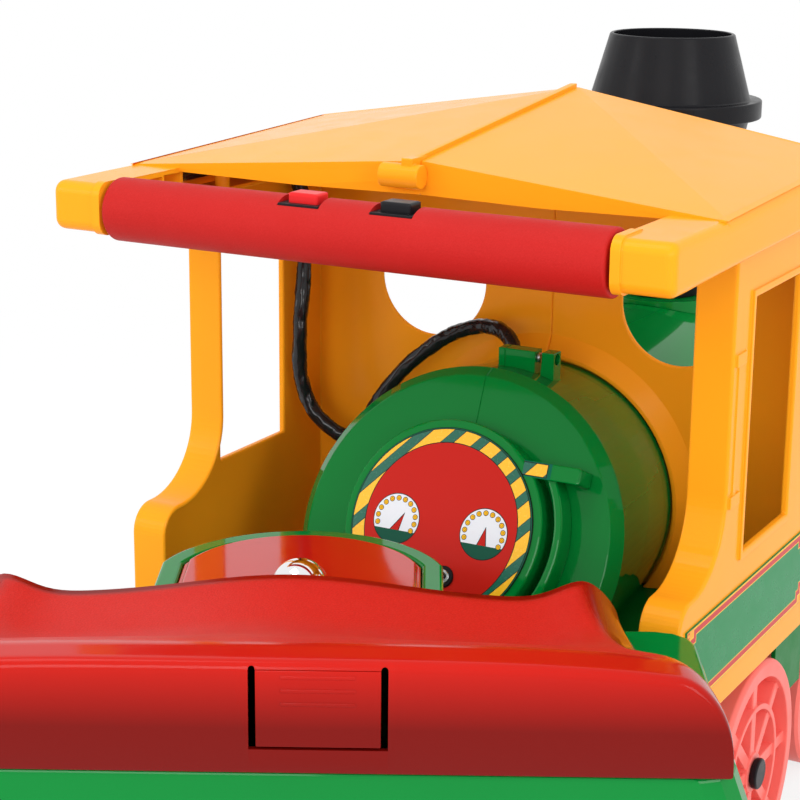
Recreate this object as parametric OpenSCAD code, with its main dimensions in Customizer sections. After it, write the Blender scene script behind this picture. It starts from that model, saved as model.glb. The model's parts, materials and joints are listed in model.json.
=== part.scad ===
// Articulated ride-on train: a locomotive with an open cab, and a seat unit
// that turns behind it on a vertical pivot. Millimetres, +X forward, +Y left, +Z up.
// The origin lies on the floor, straight below the pivot.

/* [Whole train] */
// Height of the grip bar's axis above the floor
bar_z = 565; // [555:1:580]
// Distance from the pivot forward to the grip bar's axis
bar_x = 72; // [66:1:80]
// Turn of the seat unit to the left, degrees
steer_angle = 28; // [0:1:30]
// Thickness of the moulded walls
wall = 4; // [3:0.5:5]
// Gap between pieces that move past each other
gap = 0.5; // [0.4:0.1:0.8]
// Radial running clearance of a shaft in its bore
run = 0.05; // [0.03:0.01:0.08]

/* [Cab] */
// Width over the cab sides
cab_w = 470; // [460:1:480]
// Rear edge of the cab posts, ahead of the pivot
post_x = 209; // [204:1:216]
// Front face of the cab's front wall, ahead of the pivot
front_x = 417; // [410:1:425]
// Height of the cab sides' lower edge
floor_z = 206; // [202:1:210]
// Height of the cab sides' upper edge
side_top_z = 560; // [556:1:562]
// Depth of the hollow cab sides
side_depth = 31; // [26:1:36]
// Rear edge of the cab sides' foot
foot_x = 124; // [122:1:130]
// Height of the foot's top
foot_z = 312; // [300:1:320]
// Radius of the sweep from foot to post
sweep_r = 60; // [50:1:64]
// Radius of the foot's upper corner
foot_round = 22; // [16:1:24]
// Rear edge of the side window
window_x = 248; // [244:1:252]
// Length of the side window
window_l = 102; // [92:1:104]
// Sill height of the side window
sill_z = 320; // [316:1:330]
// Height of the side window
window_h = 194; // [180:1:198]
// Width of the raised window frame
frame_w = 6; // [5:0.5:8]
// Height of the raised window frame
frame_h = 2; // [1:0.5:3]
// Radius of the portholes
port_r = 51; // [45:1:56]
// Distance of the portholes from the middle
port_y = 115; // [110:1:125]
// Height of the porthole centres
port_z = 462; // [455:1:470]
// Width of the raised arch round the drum
arch_w = 22; // [16:1:26]
// Height of the raised arch
arch_h = 8; // [6:1:12]
// Length of the sign panels
sign_length = 270; // [240:1:285]
// Height of the sign panels
sign_h = 62; // [50:1:70]
// Thickness of the sign panels
sign_t = 1.5; // [1:0.1:2]

/* [Roof] */
// Width over the roof's eaves
roof_w = 494; // [486:1:506]
// Height of the eave's side face
eave_h = 37; // [34:1:42]
// Thickness of the roof
roof_t = 5; // [4:0.5:6]
// Rear edge of the roof at the eaves
eave_rear_x = 151; // [146:1:156]
// Rear end of the ridge
ridge_rear_x = 173; // [168:1:180]
// Front end of the ridge
ridge_front_x = 452; // [445:1:465]
// Front end of the eaves
eave_front_x = 432; // [428:1:440]
// Rise of the ridge's rear end over the eave
ridge_rear_rise = 19; // [15:1:23]
// Rise of the ridge's front end over the eave
ridge_front_rise = 39; // [34:1:44]
// Rise of the eave from rear to front
eave_rise = 8; // [4:1:12]
// Inner edge of the arms, from the middle
arm_y = 203; // [200:1:206]

/* [Grip bar] */
// Length of the grip sleeve
grip_l = 400; // [394:1:402]
// Radius of the grip sleeve
grip_r = 23.7; // [22.5:0.1:25]
// Radius of the bar's core tube
core_r = 12; // [11:0.5:13]
// Wall of the core tube
core_wall = 3; // [2:0.5:4]
// Reach of the arm ends behind the bar's axis
boss_r = 20; // [19:0.5:21]
// Place of the red button, left of the middle
red_y = 36; // [30:1:50]
// Place of the black button, right of the middle
black_y = 38; // [30:1:45]
// Button length along the bar
button_l = 24; // [22:1:28]
// Button width across the bar
button_w = 17; // [15:1:19]
// Height of a button over its plate
button_h = 7; // [6:1:9]
// Travel of a button
button_travel = 3; // [2:0.5:3]
// Border of the switch plate along the bar
plate_border = 4.5; // [3:0.5:5]
// Border of the switch plate across the bar
plate_reach = 6.5; // [5:0.5:7]
// Depth of the switch plates below the grip's crown
plate_sink = 4; // [3:0.5:5]
// Thickness of the switch plate
plate_t = 2; // [1.5:0.5:3]

/* [Dash drum] */
// Centre of the slanted dash face, ahead of the pivot
dash_x = 233; // [228:1:238]
// Height of the dash face's centre
dash_z = 294; // [290:1:298]
// Backward tilt of the dash face, degrees
dash_tilt = 24; // [20:1:28]
// Radius of the dash face
dash_r = 142; // [136:1:146]
// Rounding band at the dash face's rim
dash_edge = 9; // [6:1:12]
// Radius of the boiler
boiler_r = 127; // [122:1:130]
// Height of the boiler's axis
boiler_z = 286; // [282:1:290]
// Radius of the raised dash boss
boss_plate_r = 86; // [84:1:92]
// Height of the raised dash boss
boss_plate_h = 26; // [22:1:30]
// Shift of the boss up the dash face
boss_plate_up = 6; // [3:1:9]
// Radius of the printed dash plate
dial_plate_r = 79; // [72:1:80]
// Thickness of the printed dash plate
dial_plate_t = 1.6; // [1:0.1:2]
// Radius of the charging socket
socket_r = 8.5; // [7:0.5:10]

/* [Loco front] */
// Front end of the boiler
boiler_front_x = 720; // [715:1:730]
// Thickness of the smokebox front
smokebox_t = 14; // [10:1:18]
// Chimney axis, ahead of the pivot
chimney_x = 668; // [655:1:675]
// Radius of the chimney's widest ring
ring_r = 86; // [82:1:90]
// Height of the ring
ring_h = 17; // [14:1:19]
// Height of the chimney above its ring
upper_h = 60; // [55:1:66]
// Height of the chimney's top
chimney_top_z = 663; // [655:1:670]
// Radius of the chimney's foot
chimney_foot_r = 38; // [34:1:42]
// Radius of the headlamp
lamp_r = 46; // [40:1:50]
// Depth of the headlamp
lamp_d = 34; // [28:1:40]
// Reach of the cowcatcher
catcher_l = 72; // [60:1:80]
// Width of the cowcatcher
catcher_w = 380; // [340:1:400]

/* [Running gear] */
// Radius of the large wheels
wheel_r = 95; // [92:1:98]
// Radius of the small front wheels
front_wheel_r = 72; // [68:1:76]
// Width of the wheels
wheel_w = 48; // [44:1:52]
// Distance over the large wheels' outer faces
track_w = 450; // [440:1:456]
// Drive axle, ahead of the pivot
drive_x = 347; // [340:1:352]
// Front axle, ahead of the pivot
front_axle_x = 600; // [590:1:610]
// Tender axle, behind the pivot
tender_axle_d = 186; // [180:1:192]
// Radius of the axles
axle_r = 6; // [5.5:0.5:7]
// Gear module
gear_m = 2; // [2:0.1:2.1]
// Teeth of the two large gears
big_teeth = 40; // [38:1:40]
// Teeth of the compound gear's pinion
small_teeth = 12; // [12:1:13]
// Teeth of the motor pinion
motor_teeth = 10; // [10:1:11]
// Width of the gears
gear_w = 9; // [8:0.5:9]

/* [Seat unit] */
// Height of the tongue's rim
tongue_z = 333; // [328:1:336]
// Radius of the tongue round the pivot
tongue_r = 105; // [100:1:108]
// Width of the tongue's rim
rim_w = 15; // [13:1:18]
// Radius of the pivot bolt
pivot_r = 8; // [7:0.5:9]
// Radius of the chrome dome
dome_r = 18; // [16:1:20]
// Height of the chrome dome
dome_h = 11; // [9:1:13]
// Half width of the body's top
body_half = 265; // [258:1:270]
// Half width of the body's skirt
skirt_half = 290; // [284:1:294]
// Front of the body, behind the pivot
body_front_d = 62; // [60:1:66]
// Rear of the body, behind the pivot
body_rear_d = 294; // [288:1:300]
// Height of the body's top
body_top_z = 322; // [318:1:324]
// Height where the skirt is widest
flare_z = 252; // [245:1:260]
// Lower edge of the skirt
skirt_z = 168; // [160:1:180]
// Half width of the storage box under the seat
bin_half = 140; // [130:1:146]
// Floor of the storage box
bin_z = 250; // [246:1:256]

/* [Seat] */
// Front edge of the seat, behind the pivot
seat_front_d = 72; // [70:1:74]
// Rear face of the seat, behind the pivot
seat_rear_d = 290; // [286:1:292]
// Level band along the seat's rear lip
rim_band = 25; // [20:1:30]
// Height of the seat's front edge in the leg dips
seat_dip_z = 347; // [344:1:352]
// Rise of the middle of the front edge
seat_bump = 15; // [10:1:18]
// Rise of the side rims
seat_ear = 13; // [8:1:16]
// Height of the rear lip
seat_lip_z = 390; // [386:1:394]
// Half width at the front
seat_front_half = 216; // [210:1:222]
// Half width at the rear
seat_rear_half = 260; // [254:1:264]
// Width of the latch tab
latch_w = 70; // [60:1:80]
// Height of the latch tab
latch_h = 46; // [40:1:48]
// Place of the latch, right of the middle
latch_y = 28; // [20:1:36]
// Lift of the hinge rod over the body's top
hinge_lift = 12; // [11:1:13]
// Radius of the seat's hinge rod
hinge_r = 3; // [2.5:0.5:3.5]

/* [Hidden] */

$fn = 96;
over = 2;
nil = 0.01;
hull_fn = 32;
body_fn = 12;
far = 2000;

// Cab and chassis
cab_half = cab_w / 2;
side_in = cab_half - side_depth;
deck_t = 8;
deck_z = floor_z + deck_t;
rail_y = 128;
rail_t = 12;
rail_low_z = 62;
chassis_front_x = boiler_front_x;
tail_half = 54;
tail_h = 30;
tail_z = floor_z + tail_h;
tail_lap = 20;
washer_t = 4;
washer_r = 34;
sweep_x = post_x - sweep_r;
pad_l = 20;
pad_h = 9.5;
pad_t = 2;
pad_set_x = 35;
pad_low_share = 0.215;
pad_high_share = 0.765;
pad_strip_w = 6;
sign_up = 24;
sign_low_z = floor_z + sign_up;
sign_set_x = 12;
sign_rear_x = foot_x + sign_set_x;
notch_set_x = 78;
notch_x = front_x - notch_set_x;
notch_l = 30;
arch_room = 2.5;
arch_lip = 4;
valance_gap = 6;
valance_low_z = 110;

// Roof
roof_half = roof_w / 2;
eave_lift = 1.5;
roof_gap = 2;
eave_low_z = bar_z - eave_h / 2 + eave_lift;
eave_top_z = eave_low_z + eave_h;
eave_wall = 4;
fascia_t = 3;
fascia_drop = 25;
fascia_half_share = 0.5;
front_drop = 26;
bead_w = 8;
bead_h = 3;
knuckle_r = 9;
knuckle_left = 27;
knuckle_right = 6;
knuckle_drop = 1.5;
strap_w = 9;
strap_t = 4;
collar_out = 1.5;
nose_r = 9;
collar_l = 7;
boss_cap = 8;
rib_t = 3;
rib_set_x = 34;
rib_pitch = 25;
rib_count = 3;
rib_xs = [for (i = [0 : rib_count - 1]) bar_x + rib_set_x + i * rib_pitch];
post_r = 6;
post_y = side_in + post_r + nil;
post_set_x = 15;
post_xs = [post_x + post_set_x, front_x - post_set_x];
screw_r = 4;
screw_h = 3;

// Buttons
plate_l = button_l + 2 * plate_border;
plate_w = button_w + 2 * plate_reach;
plate_top_z = bar_z + grip_r - plate_sink;
plate_low_z = plate_top_z - plate_t;
pocket_low_z = bar_z + core_r;
switch_h = 1.5;
switch_set = 3.5;
button_low_z = pocket_low_z + switch_h + gap + button_travel;
switch_l = button_l - switch_set;
switch_w = button_w - switch_set;

// Drum and dash
barrel_x = front_x - wall;
barrel_set = 10;
barrel_r = boiler_r - barrel_set;
drum_wall = 5;
rim_top_x = dash_x + dash_r * sin(dash_tilt) + dash_edge * cos(dash_tilt);
rim_top_z = dash_z + dash_r * cos(dash_tilt) - dash_edge * sin(dash_tilt);
lug_set = 23;
lug_x = rim_top_x + lug_set;
lug_l = 14;
lug_left = 6;
lug_right = 27;
lug_block_in = 33;
lug_block_out = 44;
lug_sink = 12;
lug_rise = 15;
lug_low_z = drum_top(lug_x + lug_l) - lug_sink;
lug_top_z = drum_top(lug_x) + lug_rise;
lug_bore_r = 3;
lug_head_r = 4.2;
lug_bore_drop = 6;
lug_head_h = 3;
strap_lug_l = 44;
strap_lug_w = 13;
strap_lug_h = 7;
strap_up = 62;
strap_down = -47;
strap_in = 64;
rib_w = 7;
socket_y = -12;
socket_down = -39;
socket_bore_r = 3.2;
socket_h = 6;

// Loco front
ring_z = chimney_top_z - upper_h - ring_h;
collar_h = 4;
collar_reach = 16;
upper_r = 75;
upper_top_r = 58;
funnel_wall = 4;
lens_t = 6;
lens_in = 4;
catcher_low_z = 26;
catcher_beam_t = 14;
catcher_beam_h = 26;
slat_count = 11;
slat_w = 14;
slat_t = 12;
battery_x = 470;
battery_l = 105;
battery_w = 70;
battery_h = 100;
strap_band_w = 25;
strap_band_t = 2;
sound_x = 300;
sound_l = 70;
sound_w = 80;
sound_h = 45;

// Running gear
wheel_out = track_w / 2;
wheel_in = wheel_out - wheel_w;
hub_r = 17;
hub_gap = 2;
hub_in = rail_y + rail_t + hub_gap;
tread_t = 15;
web_t = 6;
ring_mid_share = 0.58;
ring_rib = 5;
spoke_count = 8;
spoke_w = 10;
cap_r = 13;
cap_h = 6;
bush_r = 10;
bush_flange_r = 14;
bush_flange_t = 1.5;
front_set = 22;
front_out = wheel_out - front_set;
slack = 0.3;
tooth_root_share = 1.25;
addendum_share = 1;
dedendum_share = 1.25;
gear_lap = 1;
big_tip_r = gear_m * (big_teeth / 2 + addendum_share);
tooth_tip_share = 0.4;
layer_a = -30;
layer_b = -16;
mesh_angle = 30;
mesh_a = gear_m * (big_teeth + small_teeth) / 2 + slack;
mesh_b = gear_m * (big_teeth + motor_teeth) / 2 + slack;
drive_z = wheel_r;
comp_x = drive_x + mesh_a * cos(mesh_angle);
comp_z = drive_z + mesh_a * sin(mesh_angle);
motor_x = comp_x + mesh_b * cos(mesh_angle);
motor_z = comp_z + mesh_b * sin(mesh_angle);
gear_pin_r = 3;
pinion_shaft_r = 2.5;
motor_r = 20;
motor_l = 58;
case_wall = 3;
case_room = 5;
case_in_y = -38;
case_out_y = 0;
case_rear_x = drive_x - big_tip_r - case_room - case_wall;
case_front_x = motor_x + motor_r + case_room;
case_low_z = drive_z - big_tip_r - case_room - case_wall;
stub_l = 9;

// Seat unit
tongue_flat = 5;
tongue_half = tongue_r - tongue_flat;
tongue_low_z = tail_z + washer_t + slack;
tongue_floor = 8;
foot_d = 46;
cover_t = 14;
cover_rise = 3;
cover_edge = 4;
cover_r = tongue_r - rim_w - gap;
cover_half = tongue_half - rim_w - gap;
cover_top_z = tongue_z + cover_rise;
bolt_tube_r = 15;
bolt_head_r = 16;
bolt_head_h = 12;
corner_r = 24;
body_lean = 18;
body_rear_lean = 6;
tail_room = 8;
tail_room_r = tail_half + tail_room;
bin_set_front = 30;
bin_set_rear = 24;
bin_front_d = body_front_d + bin_set_front;
bin_rear_d = body_rear_d - bin_set_rear;
axle_plate_t = 8;
axle_plate_half = 30;
tow_half = 26;
tow_l = 34;
tow_t = 10;
tow_r = 5;

// Seat
seat_seam = 1;
lip_round = 5;
seat_lip_d = seat_rear_d - lip_round;
seat_rim_d = seat_rear_d - rim_band;
seat_front_seam = 6;
seat_low_z = body_top_z + seat_seam;
seat_front_low_z = body_top_z + seat_front_seam;
seat_wall = 4;
seat_rows = 10;
seat_cols = 24;
lip_rows = 3;
lip_fall = 12;
bump_width = 95;
ear_width = 24;
pan_dip = 7;
lip_start_share = 0.3;
side_round_share = 0.13;
hinge_set = 9;
hinge_d = seat_front_d + hinge_set;
hinge_z = body_top_z + hinge_lift;
ear_t = 6;
ear_y = 70;
ear_room = 2;
ear_fall_share = 0.75;
latch_t = 4;
latch_rib = 2;
latch_rib_h = 4;
latch_up = 16;
latch_ribs = 3;
latch_top_z = seat_low_z + latch_up + latch_h;
latch_gap = 1.5;
latch_pin_r = 1.3;
latch_pin_in = 3;

// Route of the cable sleeve, in millimetres, from the roof arm into the drum's top.
// It was laid for a drum of route_r and moves out with a larger one.
cable_r = 7;
cable_sides = 12;
route_r = 127;
route_free_y = 217;
route_ramp = 60;
cable_route = [[159, 230, 573], [175, 230, 573], [205, 230, 573], [240, 230, 573], [275, 230, 573],
               [305, 230, 573], [330, 228, 571], [348, 223, 563], [357, 221, 548], [361, 218, 530],
               [362, 217, 505], [362, 217, 480], [360, 217, 455], [356, 217, 430], [354, 217, 405],
               [354, 217, 382], [355, 213, 360], [356, 204, 342], [358, 190, 329], [361, 176, 322],
               [364, 164, 325], [367, 156, 336], [369, 148, 351], [371, 138, 367], [374, 125, 384],
               [377, 109, 400], [380, 92, 414], [381, 73, 425], [379, 54, 432], [375, 38, 434],
               [370, 26, 433], [365, 17, 429], [361, 11, 422], [359, 8, 413], [359, 8, 403]];
cable_path = [for (p = cable_route) laid(p)];
cable_end = cable_path[len(cable_path) - 1];

// Helpers

module box(x0, x1, y0, y1, z0, z1) {
    translate([x0, y0, z0]) cube([x1 - x0, y1 - y0, z1 - z0]);
}

module rod_y(r, y0, y1) {
    translate([0, y0, 0]) rotate([-90, 0, 0]) cylinder(r = r, h = y1 - y0);
}

module rod_x(r, x0, x1) {
    translate([x0, 0, 0]) rotate([0, 90, 0]) cylinder(r = r, h = x1 - x0);
}

module slab_xz(y0, y1) {
    translate([0, y1, 0]) rotate([90, 0, 0]) linear_extrude(height = y1 - y0) children();
}

module slab_yz(x0, x1) {
    translate([x0, 0, 0]) rotate([90, 0, 90]) linear_extrude(height = x1 - x0) children();
}

module field(x0, x1, y0, y1) {
    translate([x0, y0]) square([x1 - x0, y1 - y0]);
}

module round_field(x0, x1, y0, y1, r) {
    field(x0 + r, x1 - r, y0, y1);
    field(x0, x1, y0 + r, y1 - r);
    for (x = [x0 + r, x1 - r], y = [y0 + r, y1 - r]) translate([x, y]) circle(r = r);
}

module sided(side) {
    if (side > 0) children();
    else mirror([0, 1, 0]) children();
}

module on_bar() {
    translate([bar_x, 0, bar_z]) children();
}

module on_dash() {
    translate([dash_x, 0, dash_z]) rotate([0, dash_tilt - 90, 0]) children();
}

module on_tender() {
    rotate([0, 0, steer_angle]) children();
}

module boiler_room() {
    box(-far, far, -far, far, -far, deck_z);
}

module half_room(side) {
    sided(side) box(-far, far, -far, 0, -far, far);
}

// Chassis

module chassis() {
    color("forestgreen") difference() {
        union() {
            box(foot_x, chassis_front_x, -side_in, side_in, floor_z, deck_z);
            for (side = [1, -1]) {
                sided(side) box(foot_x, chassis_front_x, rail_y, rail_y + rail_t, rail_low_z, floor_z + nil);
            }
            box(foot_x, foot_x + wall, -rail_y, rail_y, rail_low_z, floor_z + nil);
            box(chassis_front_x - wall, chassis_front_x, -rail_y, rail_y, rail_low_z, floor_z + nil);
            for (side = [1, -1]) {
                sided(side) box(drive_x + wheel_r + valance_gap, front_axle_x - front_wheel_r - valance_gap,
                                side_in - wall, side_in, valance_low_z, floor_z + nil);
            }
            box(0, foot_x + tail_lap, -tail_half, tail_half, floor_z, tail_z);
            translate([0, 0, floor_z]) cylinder(r = tail_half, h = tail_h);
        }
        translate([0, 0, floor_z - over]) cylinder(r = pivot_r + run, h = tail_h + 2 * over);
        translate([drive_x, 0, wheel_r]) rod_y(bush_r, -far, far);
        translate([front_axle_x, 0, front_wheel_r]) rod_y(axle_r + run, -far, far);
    }
}

module thrust_washer() {
    color("gainsboro") translate([0, 0, tail_z]) difference() {
        cylinder(r = washer_r, h = washer_t);
        translate([0, 0, -over]) cylinder(r = pivot_r + slack, h = washer_t + 2 * over);
    }
}

// Cab

module side_outline(inset) {
    difference() {
        union() {
            field(post_x + inset, front_x - inset, floor_z + inset, side_top_z - inset);
            field(foot_x + inset, front_x - inset, floor_z + inset, foot_z - foot_round);
            field(foot_x + foot_round, front_x - inset, floor_z + inset, foot_z - inset);
            translate([foot_x + foot_round, foot_z - foot_round]) circle(r = foot_round - inset);
            field(sweep_x, post_x + inset + nil, foot_z - inset - nil, foot_z + sweep_r);
        }
        translate([sweep_x, foot_z + sweep_r]) circle(r = sweep_r + inset);
    }
}

module window_outline(grow) {
    field(window_x - grow, window_x + window_l + grow, sill_z - grow, sill_z + window_h + grow);
}

module wall_outline() {
    difference() {
        polygon([[0, floor_z + deck_t], [side_in, floor_z + deck_t], [side_in, roof_under(front_x, side_in)],
                 [0, roof_under(front_x, 0)]]);
        translate([port_y, port_z]) circle(r = port_r);
        translate([0, boiler_z]) circle(r = barrel_r - drum_wall);
    }
}

module arch() {
    intersection() {
        translate([front_x - wall + nil, 0, boiler_z]) rotate([0, -90, 0]) difference() {
            cylinder(r1 = barrel_r + arch_w, r2 = barrel_r + arch_room + arch_lip, h = arch_h);
            translate([0, 0, -over]) cylinder(r = barrel_r + arch_room, h = arch_h + 2 * over);
        }
        box(0, far, 0, far, deck_z, far);
    }
}

module pads() {
    for (share = [pad_low_share, pad_high_share]) {
        box(window_x - pad_set_x, window_x - pad_set_x + pad_l, cab_half - nil, cab_half + pad_t,
            sill_z + share * window_h, sill_z + share * window_h + pad_h);
    }
    box(window_x - pad_set_x + pad_strip_w, window_x - pad_set_x + 2 * pad_strip_w, cab_half - nil,
        cab_half + pad_t / 2, sill_z + pad_low_share * window_h, sill_z + pad_high_share * window_h);
}

module cab_side(notched) {
    difference() {
        union() {
            slab_xz(side_in, cab_half) side_outline(0);
            slab_xz(cab_half - nil, cab_half + frame_h) window_outline(frame_w);
            slab_yz(front_x - wall, front_x) wall_outline();
            arch();
            pads();
        }
        slab_xz(side_in - over, cab_half - wall) side_outline(wall);
        slab_xz(cab_half - wall - over, cab_half + frame_h + over) window_outline(0);
        if (notched) {
            box(notch_x, notch_x + notch_l, side_in - over, cab_half - wall, side_top_z - 2 * wall, far);
        }
    }
}

module cab_left() {
    color("orange") cab_side(true);
}

module cab_right() {
    color("orange") mirror([0, 1, 0]) cab_side(false);
}

module sign() {
    box(sign_rear_x, sign_rear_x + sign_length, cab_half, cab_half + sign_t, sign_low_z, sign_low_z + sign_h);
}

module sign_left() {
    color("darkgreen") sign();
}

module sign_right() {
    color("darkgreen") mirror([0, 1, 0]) sign();
}

// Roof

function eave_z(x) = eave_top_z + eave_rise * (x - eave_rear_x) / (eave_front_x - eave_rear_x);
function ridge_z(x) = eave_top_z + ridge_rear_rise
    + (eave_rise + ridge_front_rise - ridge_rear_rise) * (x - ridge_rear_x) / (ridge_front_x - ridge_rear_x);
function roof_top(x, y) = ridge_z(x) + (eave_z(x) - ridge_z(x)) * y / roof_half;
function roof_under(x, y) = roof_top(x, y) - roof_t - roof_gap;

module stake(x, y, low, high) {
    translate([x, y, low]) cylinder(r = fascia_t / 2, h = high - low, $fn = hull_fn);
}

module roof_slab() {
    stake_r = fascia_t / 2;
    hull() {
        for (p = [[ridge_rear_x, 0], [ridge_front_x, 0], [eave_front_x, roof_half - stake_r],
                  [eave_rear_x, roof_half - stake_r]]) {
            stake(p[0], p[1], roof_top(p[0], p[1]) - roof_t, roof_top(p[0], p[1]));
        }
    }
}

module rear_fascia() {
    low = ridge_z(ridge_rear_x) - fascia_drop;
    mid_y = fascia_half_share * arm_y;
    mid_x = ridge_rear_x - (ridge_rear_x - eave_rear_x) * mid_y / roof_half;
    end_x = ridge_rear_x - (ridge_rear_x - eave_rear_x) * arm_y / roof_half;
    hull() {
        stake(ridge_rear_x, 0, low, ridge_z(ridge_rear_x) - fascia_t);
        stake(mid_x, mid_y, low, roof_top(mid_x, mid_y) - fascia_t);
        stake(end_x, arm_y, eave_z(end_x) - fascia_t, eave_z(end_x));
    }
}

module front_fascia() {
    edge_y = roof_half - fascia_t / 2;
    hull() {
        stake(ridge_front_x, 0, ridge_z(ridge_front_x) - front_drop, ridge_z(ridge_front_x) - fascia_t);
        stake(eave_front_x, edge_y, eave_z(eave_front_x) - eave_h, eave_z(eave_front_x) - fascia_t);
    }
}

module nose(grow) {
    round_field(bar_x - boss_r - grow, bar_x + boss_r + grow, eave_low_z - grow, eave_top_z + grow,
                nose_r + grow);
}

module arm() {
    slab_xz(roof_half - eave_wall, roof_half)
        polygon([[bar_x, eave_low_z], [eave_front_x, eave_low_z + eave_rise],
                 [eave_front_x, eave_z(eave_front_x)], [eave_rear_x, eave_top_z], [bar_x, eave_top_z]]);
    box(bar_x, eave_rear_x + rib_t, arm_y, roof_half, eave_top_z - wall, eave_top_z);
    for (x = rib_xs) box(x, x + rib_t, arm_y, roof_half - nil, eave_low_z + wall, eave_top_z - nil);
    slab_xz(arm_y, roof_half) nose(0);
    slab_xz(arm_y, arm_y + collar_l) nose(collar_out);
}

module roof_half_body() {
    difference() {
        union() {
            roof_slab();
            rear_fascia();
            front_fascia();
            arm();
            for (x = post_xs) {
                translate([x, post_y, side_top_z])
                    cylinder(r = post_r, h = roof_top(x, post_y) - roof_t / 2 - side_top_z);
            }
        }
        on_bar() rod_y(core_r + run, arm_y - over, roof_half - boss_cap);
        box(-far, far, -far, 0, -far, far);
    }
}

module ridge_bead() {
    hull() {
        for (x = [ridge_rear_x, ridge_front_x]) {
            translate([x, bead_w / 2, ridge_z(x) - bead_h])
                cylinder(r = bead_h, h = 2 * bead_h, $fn = hull_fn);
        }
    }
}

module ridge_knuckle() {
    x = ridge_rear_x - knuckle_r - fascia_t / 2;
    z = ridge_z(ridge_rear_x) - knuckle_r - knuckle_drop;
    translate([x, 0, z]) rod_y(knuckle_r, -knuckle_right, knuckle_left);
    box(x, ridge_rear_x, -nil, knuckle_left, z - strap_t, z + strap_t);
    box(x - strap_w / 2, ridge_rear_x + strap_w, 0, strap_w, z + knuckle_r - strap_t,
        ridge_z(ridge_rear_x) + bead_h);
}

module roof_left() {
    color("orange") {
        roof_half_body();
        ridge_bead();
        ridge_knuckle();
    }
}

module roof_right() {
    color("orange") difference() {
        mirror([0, 1, 0]) roof_half_body();
        ridge_knuckle();
    }
}

module roof_screws() {
    color("silver") for (side = [1, -1]) {
        sided(side) for (x = post_xs) {
            translate([x, post_y, side_top_z - wall - screw_h]) cylinder(r = screw_r, h = screw_h);
        }
    }
}

// Grip bar and buttons

module bar_core() {
    color("dimgray") on_bar() difference() {
        rod_y(core_r, -roof_half + boss_cap + gap, roof_half - boss_cap - gap);
        rod_y(core_r - core_wall, -far, far);
    }
}

module at_buttons() {
    for (y = [red_y, -black_y]) translate([bar_x, y, 0]) children();
}

module grip() {
    color("red") difference() {
        on_bar() rod_y(grip_r, -grip_l / 2, grip_l / 2);
        on_bar() rod_y(core_r + run, -far, far);
        at_buttons() {
            box(-plate_w / 2 - slack, plate_w / 2 + slack, -plate_l / 2 - slack, plate_l / 2 + slack,
                plate_low_z, far);
            box(-button_w / 2 - gap, button_w / 2 + gap, -button_l / 2 - gap, button_l / 2 + gap,
                pocket_low_z, far);
        }
    }
}

module switch_plates() {
    color("black") at_buttons() difference() {
        box(-plate_w / 2, plate_w / 2, -plate_l / 2, plate_l / 2, plate_low_z, plate_top_z);
        box(-button_w / 2 - gap, button_w / 2 + gap, -button_l / 2 - gap, button_l / 2 + gap, 0, far);
    }
}

module switch_bodies() {
    color("dimgray") at_buttons() difference() {
        box(-switch_w / 2, switch_w / 2, -switch_l / 2, switch_l / 2, pocket_low_z - core_r / 2,
            pocket_low_z + switch_h);
        translate([0, 0, bar_z]) rod_y(core_r + run, -far, far);
        for (side = [1, -1]) {
            translate([side * switch_w / 2, 0, 0])
                box(-core_r / 2, core_r / 2, -far, far, 0, pocket_low_z);
        }
    }
}

module button_at(y) {
    translate([bar_x, y, 0])
        box(-button_w / 2, button_w / 2, -button_l / 2, button_l / 2, button_low_z, plate_top_z + button_h);
}

module red_button() {
    color("crimson") button_at(red_y);
}

module black_button() {
    color("black") button_at(-black_y);
}

// Dash drum

function drum_top(x) = rim_top_z
    + (boiler_z + barrel_r - rim_top_z) * (x - rim_top_x) / (barrel_x - rim_top_x);

module drum_form(inset) {
    hull() {
        on_dash() {
            translate([0, 0, -inset - nil]) cylinder(r = dash_r - dash_edge - inset, h = nil);
            translate([0, 0, -dash_edge - inset]) cylinder(r = dash_r - inset, h = nil);
        }
        end_x = barrel_x + inset / drum_wall * over;
        translate([0, 0, boiler_z]) rod_x(barrel_r - inset, end_x - nil, end_x);
    }
}

module lug(low_y, high_y) {
    box(lug_x, lug_x + lug_l, low_y, high_y, lug_low_z, lug_top_z);
}

module at_lug_bore() {
    translate([lug_x + lug_l / 2, 0, lug_top_z - lug_bore_drop]) children();
}

module drum_half(side) {
    difference() {
        union() {
            drum_form(0);
            lug(-lug_right, lug_left);
            lug(-lug_block_out, -lug_block_in);
        }
        drum_form(drum_wall);
        at_lug_bore() {
            rod_y(lug_bore_r + run, -lug_block_out, lug_left - over);
            rod_y(lug_head_r + slack, -lug_block_out - over, -lug_right);
        }
        translate(cable_end - [0, 0, far / 2]) cylinder(r = cable_r + slack, h = far / 2 + lug_sink);
        boiler_room();
        half_room(side);
    }
}

module drum_left() {
    color("green") drum_half(1);
}

module drum_right() {
    color("green") drum_half(-1);
}

module drum_screw() {
    color("silver") at_lug_bore() {
        rod_y(lug_bore_r, -lug_right, lug_left - over - gap);
        rod_y(lug_head_r, -lug_right - lug_head_h, -lug_right);
    }
}

module strap_lug(up, inner) {
    translate([up - strap_lug_w / 2, -inner - strap_lug_l, boss_plate_h - strap_lug_h])
        cube([strap_lug_w, strap_lug_l, strap_lug_h]);
    translate([up - strap_lug_w / 2, -inner - strap_lug_l, 0])
        cube([strap_lug_w, strap_lug_w, boss_plate_h]);
}

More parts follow.
